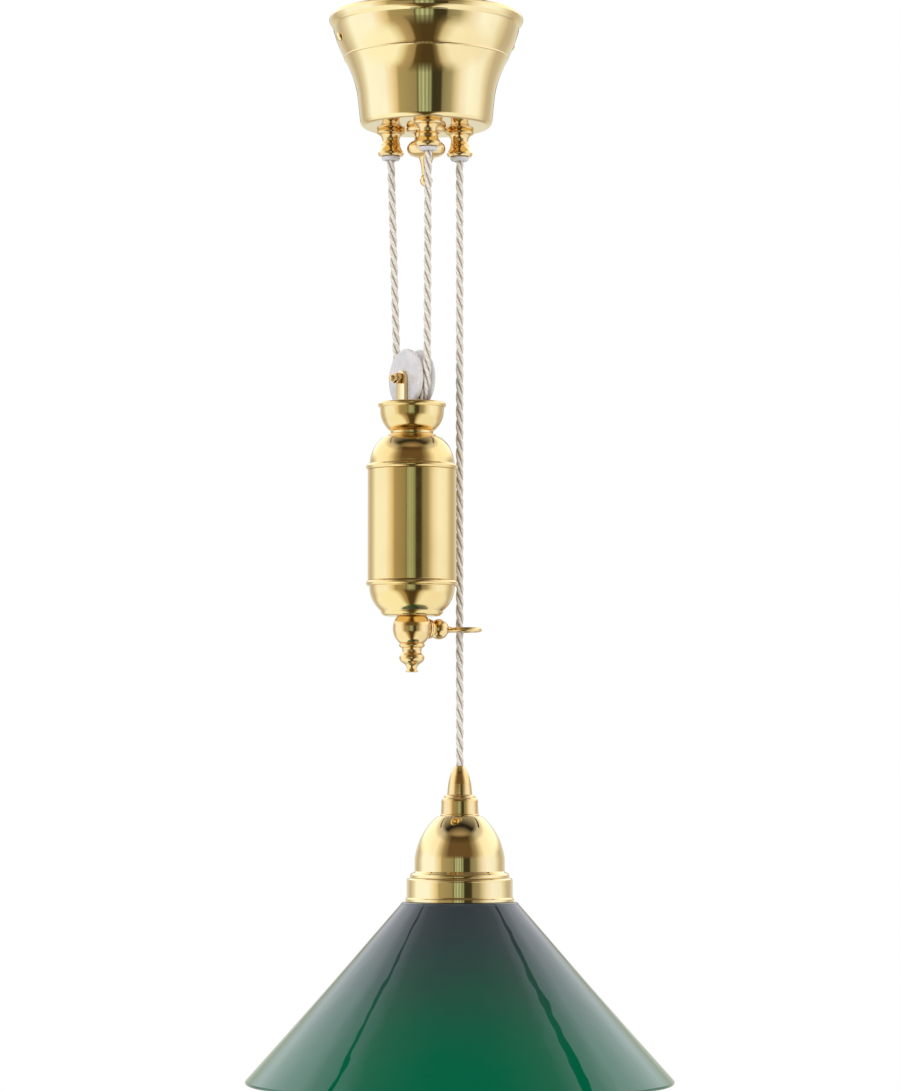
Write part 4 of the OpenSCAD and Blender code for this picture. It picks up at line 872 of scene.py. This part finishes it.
class PENDANT_OT_cup(bpy.types.Operator):
    """Spins the ceiling cup, rolls its rim and drills its floor and sides"""
    bl_idname = "pendant.cup"
    bl_label = "Ceiling cup"

    def execute(self, context):
        side = (arc((57, -1.4), (54.7, -7), 1.1) + [(54.7, -9)] + arc((54.7, -9), (48.35, -25.1), 0.5)
                + arc((48.55, -25.3), (48.55, -25.95), 0.12, 4) + arc((48, -26.2), (40.5, -48), -1.05, 16))
        inner = [(54.9, 0)] + [(r - 1.2, z) for r, z in side] + [(37.75, -62.7)] + arc(
            (37.7, -63.1), (35.5, -65.3), 0.64, 8) + [(0, -65.3)]
        outer = [(56.3, 0)] + side + [(38.95, -62.7)] + arc((38.9, -63.1), (35.5, -66.5), 0.98, 12) + [(0, -66.5)]
        cup = turned("ceiling_cup_spun", inner[::-1] + outer, "polished", segments=200)
        bushing_r, finial_r, screw_r, through_floor, through_side = 5.1, 3.1, 1.6, (-69, -62), (-8, 2)
        holes = [rod("hole", bushing_r, *through_floor, "polished", Matrix.Translation(p * MM))
                 for p in (FRONT, RIGHT, LEFT)]
        holes.append(rod("hole", finial_r, *through_floor, "polished"))
        holes += [rod("hole", screw_r, *through_side, "polished", place) for place in cup_screw_places()]
        seat(cut(cup, holes), "ceiling", "ceiling_cup")
        return {"FINISHED"}


def cup_screw_places():
    """Where the two cup screws stand, square to the cup's side."""
    return [turned_by(STRAP_TURN + half_turn, "Z") @ moved(52.56, 0, -15.5) @ turned_by(112.1, "Y")
            for half_turn in (0, 180)]


class PENDANT_OT_cup_screws(bpy.types.Operator):
    """Makes one slotted round head screw and sets it on both sides of the cup"""
    bl_idname = "pendant.cup_screws"
    bl_label = "Cup screws"

    def execute(self, context):
        screw = turned("screw", [(0, -8), (1.2, -8), (1.5, -7.6), (1.5, 0.3), (2.45, 0.3)]
                       + arc((2.6, 0.5), (0, 2.0), -0.42, 10), "polished", segments=48)
        cut(screw, [plate("slot", oblong(3, 0.35), 2.0, 0.02, moved(0, 0, 1.2))])
        places = cup_screw_places()
        seat(repeated("cup_round_head_screws", screw, [p.translation / MM for p in places],
                      [p.to_euler("XYZ") for p in places]), "ceiling", "cup_screws")
        return {"FINISHED"}


class PENDANT_OT_bushings(bpy.types.Operator):
    """Turns one cord bushing and its porcelain liner and sets them at the three cord holes"""
    bl_idname = "pendant.bushings"
    bl_label = "Cord bushings"

    def execute(self, context):
        holes = [p + UP * CUP_FLOOR for p in (FRONT, RIGHT, LEFT)]
        bushing = turned("bushing", [(4.0, 9.7), (4.5, 9.7), (5, 9.2), (5, 0.02), (8.1, 0.02)]
                         + arc((8.2, -0.3), (8.2, -2.1), 0.3, 8) + arc((7.2, -2.6), (5.6, -8.2), -1.2, 14)
                         + arc((5.6, -8.2), (7.1, -12.3), -0.4, 10) + arc((7.3, -12.7), (6.9, -15.4), 0.5, 10)
                         + [(6.5, -15.5), (4.0, -15.5)], "turned", closed=True, segments=96)
        seat(repeated("cord_bushings", bushing, holes), "ceiling", "front_bushing", "right_bushing", "left_bushing")
        liner = turned("liner", [(2.7, 9.7), (3.9, 9.7), (3.9, -15.6), (5.2, -15.6)]
                       + arc((5.5, -16), (3.3, -18.1), 0.8, 12) + [(2.75, -18)], "porcelain", closed=True, segments=80)
        seat(repeated("bushing_liners", liner, holes), "ceiling", "front_liner", "right_liner", "left_liner")
        return {"FINISHED"}


class PENDANT_OT_cup_finial(bpy.types.Operator):
    """Turns the finial in the middle of the cup"""
    bl_idname = "pendant.cup_finial"
    bl_label = "Cup finial"

    def execute(self, context):
        line = ([(0, 6.2), (3, 6.2), (3, 0.02), (11.1, 0.02)] + arc((11.5, -0.5), (11.1, -3), 0.4, 8)
                + arc((9.5, -3.4), (6.6, -6.05), -0.8, 12) + arc((6.6, -6.05), (8.7, -8.8), -0.5, 8)
                + arc((9.1, -9), (9.1, -16.6), 2.2, 18) + arc((8.4, -16.8), (4.6, -17.8), 0.25, 8)
                + arc((4.4, -18.2), (2.7, -28.2), -0.5, 14) + arc((2.6, -28.6), (0, -35.5), 2.35, 18))
        seat(turned("cup_finial_turned", line, "turned", on_axis(UP * CUP_FLOOR)), "ceiling", "cup_finial")
        return {"FINISHED"}


class PENDANT_OT_ceiling_works(bpy.types.Operator):
    """Turns the porcelain wheel in the cup and gives the parts round it their finish"""
    bl_idname = "pendant.ceiling_works"
    bl_label = "Works in the cup"

    def execute(self, context):
        seat(grooved_wheel("ceiling_wheel_porcelain", 22.45, CEILING_CORD_R, 10, 2.58,
                           on_axis(CEILING_WHEEL, CEILING_AXLE)), "ceiling_wheel", "ceiling_pulley")
        dress("zinc", "ceiling_strap", "pulley_bracket", "ceiling_axle", "ceiling_axle_nut", "anchor_screw")
        dress("porcelain", "terminal_block")
        dress("polished", "terminal_screws", "cord_anchor", "bushing_locknuts")
        return {"FINISHED"}


class PENDANT_OT_weight_wheel(bpy.types.Operator):
    """Turns the porcelain wheel that the counterweight hangs on"""
    bl_idname = "pendant.weight_wheel"
    bl_label = "Counterweight wheel"

    def execute(self, context):
        seat(grooved_wheel("weight_wheel_porcelain", 17.5, WEIGHT_CORD_R, 12, 1.78,
                           on_axis(WEIGHT_WHEEL, WEIGHT_AXLE)), "weight_wheel", "weight_pulley")
        return {"FINISHED"}


class PENDANT_OT_yoke(bpy.types.Operator):
    """Makes the yoke's cheeks, its bolt and the bolt's nuts"""
    bl_idname = "pendant.yoke"
    bl_label = "Yoke and bolt"

    def execute(self, context):
        leg, half, thick, bevel = 30.4, 4.7, 2.0, 0.35
        upright = Matrix.Translation(WEIGHT_WHEEL * MM) @ turned_by(RIGHT_A, "Z")
        outline = [(-half, -leg), (half, -leg)] + ball_line(half, 0.0, range(0, 181, 6))
        # The cheek's own X and Y are the yoke's Y and Z.
        stand = Matrix(((0, 0, 1, 0), (1, 0, 0, 0), (0, 1, 0, 0), (0, 0, 0, 1)))
        plates = [plate("cheek", outline, thick, bevel, upright @ moved(x, 0, 0) @ stand) for x in (-8.3, 6.3)]
        plates.append(plate("base", oblong(7, half), thick, bevel, upright @ moved(0, 0, -leg)))
        seat(joined("yoke_plates", plates), "weight", "weight_yoke")
        along = on_axis(WEIGHT_WHEEL, WEIGHT_AXLE)
        thread = [(r, z + k * 0.5) for k in range(8) for r, z in ((1.42, -15.3), (1.7, -15.05))]
        line = ([(0, -15.3)] + thread + [(1.7, -11), (1.7, 8.32), (2.6, 8.32), (2.6, 11.4), (2.2, 11.6)]
                + arc((2.2, 12.4), (0, 14.6), -0.64, 10))
        seat(turned("yoke_bolt", line, "turned", along, edge=0.2, segments=64), "weight", "weight_bolt")
        nuts = [hex_nut(6, 3.2, 1.75, along @ moved(0, 0, -11.5)),
                hex_nut(5, 1.8, 1.75, along @ moved(0, 0, -13.4) @ turned_by(30, "Z"))]
        seat(joined("yoke_nuts", nuts), "weight", "weight_bolt_nuts")
        dress("zinc", "rod_nut", "tie_rod")
        dress("iron", "iron_slug")
        return {"FINISHED"}


class PENDANT_OT_counterweight(bpy.types.Operator):
    """Makes the counterweight's funnel, shoulder, barrel and base"""
    bl_idname = "pendant.counterweight"
    bl_label = "Counterweight"

    def execute(self, context):
        funnel = ([(3.1, -246.7), (12.4, -246.7)] + arc((17.5, -234.5), (12.6, -246.6), 1.4, 14)[::-1]
                  + [(17.8, -233), (17.8, -230.5), (18.2, -230.2)] + arc((18.6, -229.95), (18.8, -233.1), 1.2, 12)
                  + arc((18.7, -234.5), (13.4, -246.4), 1.4, 14)
                  + [(12.8, -246.75), (12.6, -247), (12.6, -248.5), (3.1, -248.5)])
        shoulder = ([(3.1, -251.8), (15.8, -251.8)] + arc((16.2, -252.3), (23.7, -266.5), 1.7, 16)
                    + [(24.7, -268.5), (24.7, -269.5)] + arc((25.9, -266.5), (25.9, -269.5), 1, 12)[::-1]
                    + arc((17.2, -250.4), (24.95, -266.3), 1.8, 20)[::-1] + [(14.2, -250.2)]
                    + arc((13.9, -248.9), (13.9, -250), 0.3, 6)[::-1] + [(13.6, -248.6), (3.1, -248.6)])
        barrel = [(24.7, -269.6), (25.9, -269.6), (25.9, -334.4), (24.7, -334.4)]
        base = ([(24.7, -334.5)] + arc((25.9, -334.5), (25.9, -337.5), 1, 12)
                + arc((25, -337.7), (18.3, -352.1), 1.7, 18) + arc((18.2, -352.6), (15.6, -355.1), 0.55, 8)
                + [(3.1, -355.1), (3.1, -353.3), (15.6, -353.3)]
                + arc((23.8, -337.6), (17.0, -352.3), 1.7, 14)[::-1] + [(24.7, -337.4)])
        for name, line, stands_for in (
                ("weight_funnel_spun", funnel, "funnel"), ("weight_shoulder_spun", shoulder, "weight_shoulder"),
                ("weight_barrel_tube", barrel, "weight_barrel"), ("weight_base_spun", base, "weight_base")):
            seat(turned(name, line, "satin", on_axis(WEIGHT), closed=True, segments=200), "weight", stands_for)
        return {"FINISHED"}


class PENDANT_OT_weight_finial(bpy.types.Operator):
    """Turns the ball and tail under the counterweight, with a flat seat for the eye's washers"""
    bl_idname = "pendant.weight_finial"
    bl_label = "Counterweight finial"

    def execute(self, context):
        foot = BALL.z - 8.512
        line = ([(0, -355.2), (8.6, -355.2)] + ball_line(BALL_R, BALL.z, range(38, -51, -4))
                + arc((6.9, foot), (6.7, foot - 2.55), 0.8, 8) + arc((6.1, foot - 2.9), (6.1, foot - 6.1), -0.5, 8)
                + arc((6.5, foot - 6.5), (5.9, foot - 11.2), 1.2, 12)
                + arc((5.5, foot - 11.6), (2.8, foot - 15), -0.5, 8)
                + [(3.4, foot - 15.9), (3.5, foot - 16.6), (3, foot - 17), (0, foot - 17)])
        finial = turned("weight_finial_turned", line, "turned", on_axis(WEIGHT))
        seat_r, seat_out, past_ball = 6.1, 9.86, 20
        cut(finial, [rod("seat", seat_r, seat_out, past_ball, "turned", on_axis(BALL, WEIGHT_AXLE))])
        seat(finial, "weight", "weight_finial")
        return {"FINISHED"}


class PENDANT_OT_guide_eye(bpy.types.Operator):
    """Makes the guide eye that the lamp's flex runs through, and its washers"""
    bl_idname = "pendant.guide_eye"
    bl_label = "Guide eye"

    def execute(self, context):
        along = on_axis(BALL, WEIGHT_AXLE)
        washers = [turned("washer", [(2.05, low), (r, low), (r, low + 1.4), (2.05, low + 1.4)], "turned", along,
                          closed=True, edge=0.35, segments=96) for low, r in ((9.91, 6.0), (11.41, 5.6))]
        seat(joined("eye_washer_pair", washers), "weight", "eye_washers")
        # The boss is a ball, cut flat at the washers, and the ring is a bent wire.
        boss_r, boss_out = 6, 18.56
        line = ([(0, 4), (2, 4), (2, 12.86)] + ball_line(boss_r, boss_out, range(-70, 64, 6))
                + arc((2.5, 24.2), (1.85, 25.4), -0.2, 4) + [(1.85, 27.2), (0, 27.2)])
        stem = turned("stem", line, "turned", along, segments=96)
        ring_r, wire_r, ring_out = 9.1, 1.35, 36.4
        wire = [(ring_r + r, z) for r, z in ball_line(wire_r, 0.0, range(0, 360, 15))]
        ring = turned("ring", wire, "turned", on_axis(BALL + WEIGHT_AXLE * ring_out), closed=True, segments=128)
        seat(joined("guide_eye_turned", [stem, ring]), "weight", "guide_eye")
        return {"FINISHED"}


class PENDANT_OT_lamp_fitting(bpy.types.Operator):
    """Makes the cord grip, collar, dome and gallery above the shade"""
    bl_idname = "pendant.lamp_fitting"
    bl_label = "Lamp fitting"

    def execute(self, context):
        grip = [(2.5, -442), (2.9, -442.05), (3.6, -443.4), (4.4, -444.9), (5.1, -446.3), (5.75, -448.2), (6.3, -450.3),
                (6.75, -452.5), (7.05, -455), (7.3, -457.4), (7.45, -459), (5.05, -459), (5.05, -450.8), (2.5, -450.8)]
        collar = ([(5.05, -459.1), (8.4, -459.1)] + arc((8.8, -459.3), (9.4, -460.7), 0.25, 5)
                  + arc((10.2, -461.2), (10.8, -464), 0.35, 6)
                  + [(11.0, -468.6), (11.1, -470.2), (11.5, -470.6), (11.5, -471.5), (5.05, -471.5)])
        outer = ([(13.0, -471.6)] + arc((13.6, -471.9), (26.45, -496.4), 2.6, 30) + [(26.5, -503.6)]
                 + arc((27.2, -504.3), (29.3, -507.1), 0.8, 10) + [(29.2, -507.5)])
        dome = ([(5.1, -472.8), (11.9, -472.8)] + arc((12.5, -473.3), (25.3, -496.6), 2.6, 24) + [(25.3, -507.5)]
                + outer[::-1] + [(5.1, -471.6)])
        gallery = ([(25.3, -507.6), (30.2, -507.6)] + arc((30.6, -507.8), (31.1, -509.6), 0.3, 6) + [(31.15, -518.3)]
                   + arc((31.2, -518.5), (31.9, -519.6), -0.15, 5)
                   + [(31.9, -521.4), (29.9, -521.4), (29.9, -508.8), (25.3, -508.8)])
        for name, line, finish, stands_for in (
                ("cord_grip_turned", grip, "turned", "cord_grip"),
                ("lamp_collar_turned", collar, "turned", "lamp_collar"),
                ("lamp_dome_spun", dome, "polished", "lamp_dome"),
                ("gallery_spun", gallery, "polished", "gallery_ring")):
            seat(turned(name, line, finish, on_axis(RIGHT), closed=True, segments=176), "lamp", stands_for)
        return {"FINISHED"}


class PENDANT_OT_shade(bpy.types.Operator):
    """Blows the shade: opal glass inside, cased in green outside, with a fire-polished rim"""
    bl_idname = "pendant.shade"
    bl_label = "Glass shade"

    def execute(self, context):
        neck, rim = Vector((34.8, -522.9)), Vector((125, -625.1))
        skin = ([(21, -521.5), (32.4, -521.5)] + arc((32.4, -521.5), neck, 0.5, 6)
                + [(50, -540.3), (75, -569.1), (100, -597.3)] + arc(rim, (123.2, -627), 0.9, 8))
        lining = (arc((123.2, -627), (121.45, -625.7), 0.5, 6)[1:]
                  + [(97, -598.1), (72, -569.8), (47, -541.6), (31.85, -524.5), (21, -524.5)])
        shade = turned("glass_shade_blown", skin + lining, "green", on_axis(RIGHT), closed=True, edge=0.5, segments=256)
        shade.data.materials.append(material("opal"))
        slope = (rim - neck).normalized()
        casing, hem_z, throat_r = 1.2, -524.4, 21.2
        for face in shade.data.polygons:
            spot = face.center / MM - RIGHT
            r = math.hypot(spot.x, spot.y)
            out = (Vector((r, spot.z)) - neck).dot(Vector((-slope.y, slope.x)))
            if out < -casing and spot.z < hem_z or r < throat_r:
                face.material_index = 1
        seat(shade, "lamp", "glass_shade")
        return {"FINISHED"}


class PENDANT_OT_lampholder(bpy.types.Operator):
    """Makes the ribbed shade ring and the threaded shell, and gives the lampholder its finish"""
    bl_idname = "pendant.lampholder"
    bl_label = "Lampholder"

    def execute(self, context):
        place = on_axis(RIGHT)
        body = turned("ring", [(19.25, -524.6), (25.4, -524.6), (25.4, -529.6), (19.25, -529.6)], "polished", place,
                      closed=True, segments=128)
        ribs = repeated("ribs", rod("rib", 0.75, -529.2, -525, "polished"),
                        [RIGHT + polar(angle, 25.25) for angle in range(0, 360, 6)])
        seat(joined("shade_ring_ribbed", [body, ribs]), "lamp", "shade_ring")
        outer_r, inner_r, low, high, pitch, depth, steps = 13.6, 13.35, -550, -528.1, 3.65, 0.28, 72
        thread = [(depth * math.cos(math.tau * (high - low) * k / steps / pitch), low + (high - low) * k / steps)
                  for k in range(steps + 1)]
        line = [(outer_r + w, z) for w, z in thread] + [(inner_r + w, z) for w, z in thread[::-1]]
        seat(turned("screw_shell_rolled", line, "turned", place, closed=True, edge=0.0, segments=96), "lamp",
             "screw_shell")
        dress("porcelain", "holder_barrel", "holder_core")
        dress("polished", "holder_cap", "lamp_nipple")
        dress("turned", "centre_contact")
        dress("zinc", "nipple_nut")
        return {"FINISHED"}


STEPS = (PENDANT_OT_stage, PENDANT_OT_flex, PENDANT_OT_cup, PENDANT_OT_cup_screws, PENDANT_OT_bushings,
         PENDANT_OT_cup_finial, PENDANT_OT_ceiling_works, PENDANT_OT_weight_wheel, PENDANT_OT_yoke,
         PENDANT_OT_counterweight, PENDANT_OT_weight_finial, PENDANT_OT_guide_eye, PENDANT_OT_lamp_fitting,
         PENDANT_OT_shade, PENDANT_OT_lampholder)
GROUPS = {"pendant_flex": FlexSettings, "pendant_brass": BrassSettings, "pendant_glass": GlassSettings,
          "pendant_stage": StageSettings}


class PENDANT_PT_pieces(bpy.types.Panel):
    """Lists the pieces of the pendant and their sizes and colours"""
    bl_idname = "PENDANT_PT_pieces"
    bl_label = "Rise and fall pendant"
    bl_space_type = "VIEW_3D"
    bl_region_type = "UI"
    bl_category = "Pendant"

    def draw(self, context):
        for name, group in GROUPS.items():
            box = self.layout.box()
            for key in group.__annotations__:
                box.prop(getattr(context.scene, name), key)
        for piece in STEPS:
            self.layout.operator(piece.bl_idname)


CLASSES = tuple(GROUPS.values()) + STEPS + (PENDANT_PT_pieces,)


def register():
    for c in CLASSES:
        bpy.utils.register_class(c)
    for name, group in GROUPS.items():
        setattr(bpy.types.Scene, name, PointerProperty(type=group))


def unregister():
    for name in GROUPS:
        delattr(bpy.types.Scene, name)
    for c in reversed(CLASSES):
        bpy.utils.unregister_class(c)


def main():
    register()
    for piece in STEPS:
        getattr(bpy.ops.pendant, piece.bl_idname.split(".")[1])()


if __name__ == "__main__":
    main()
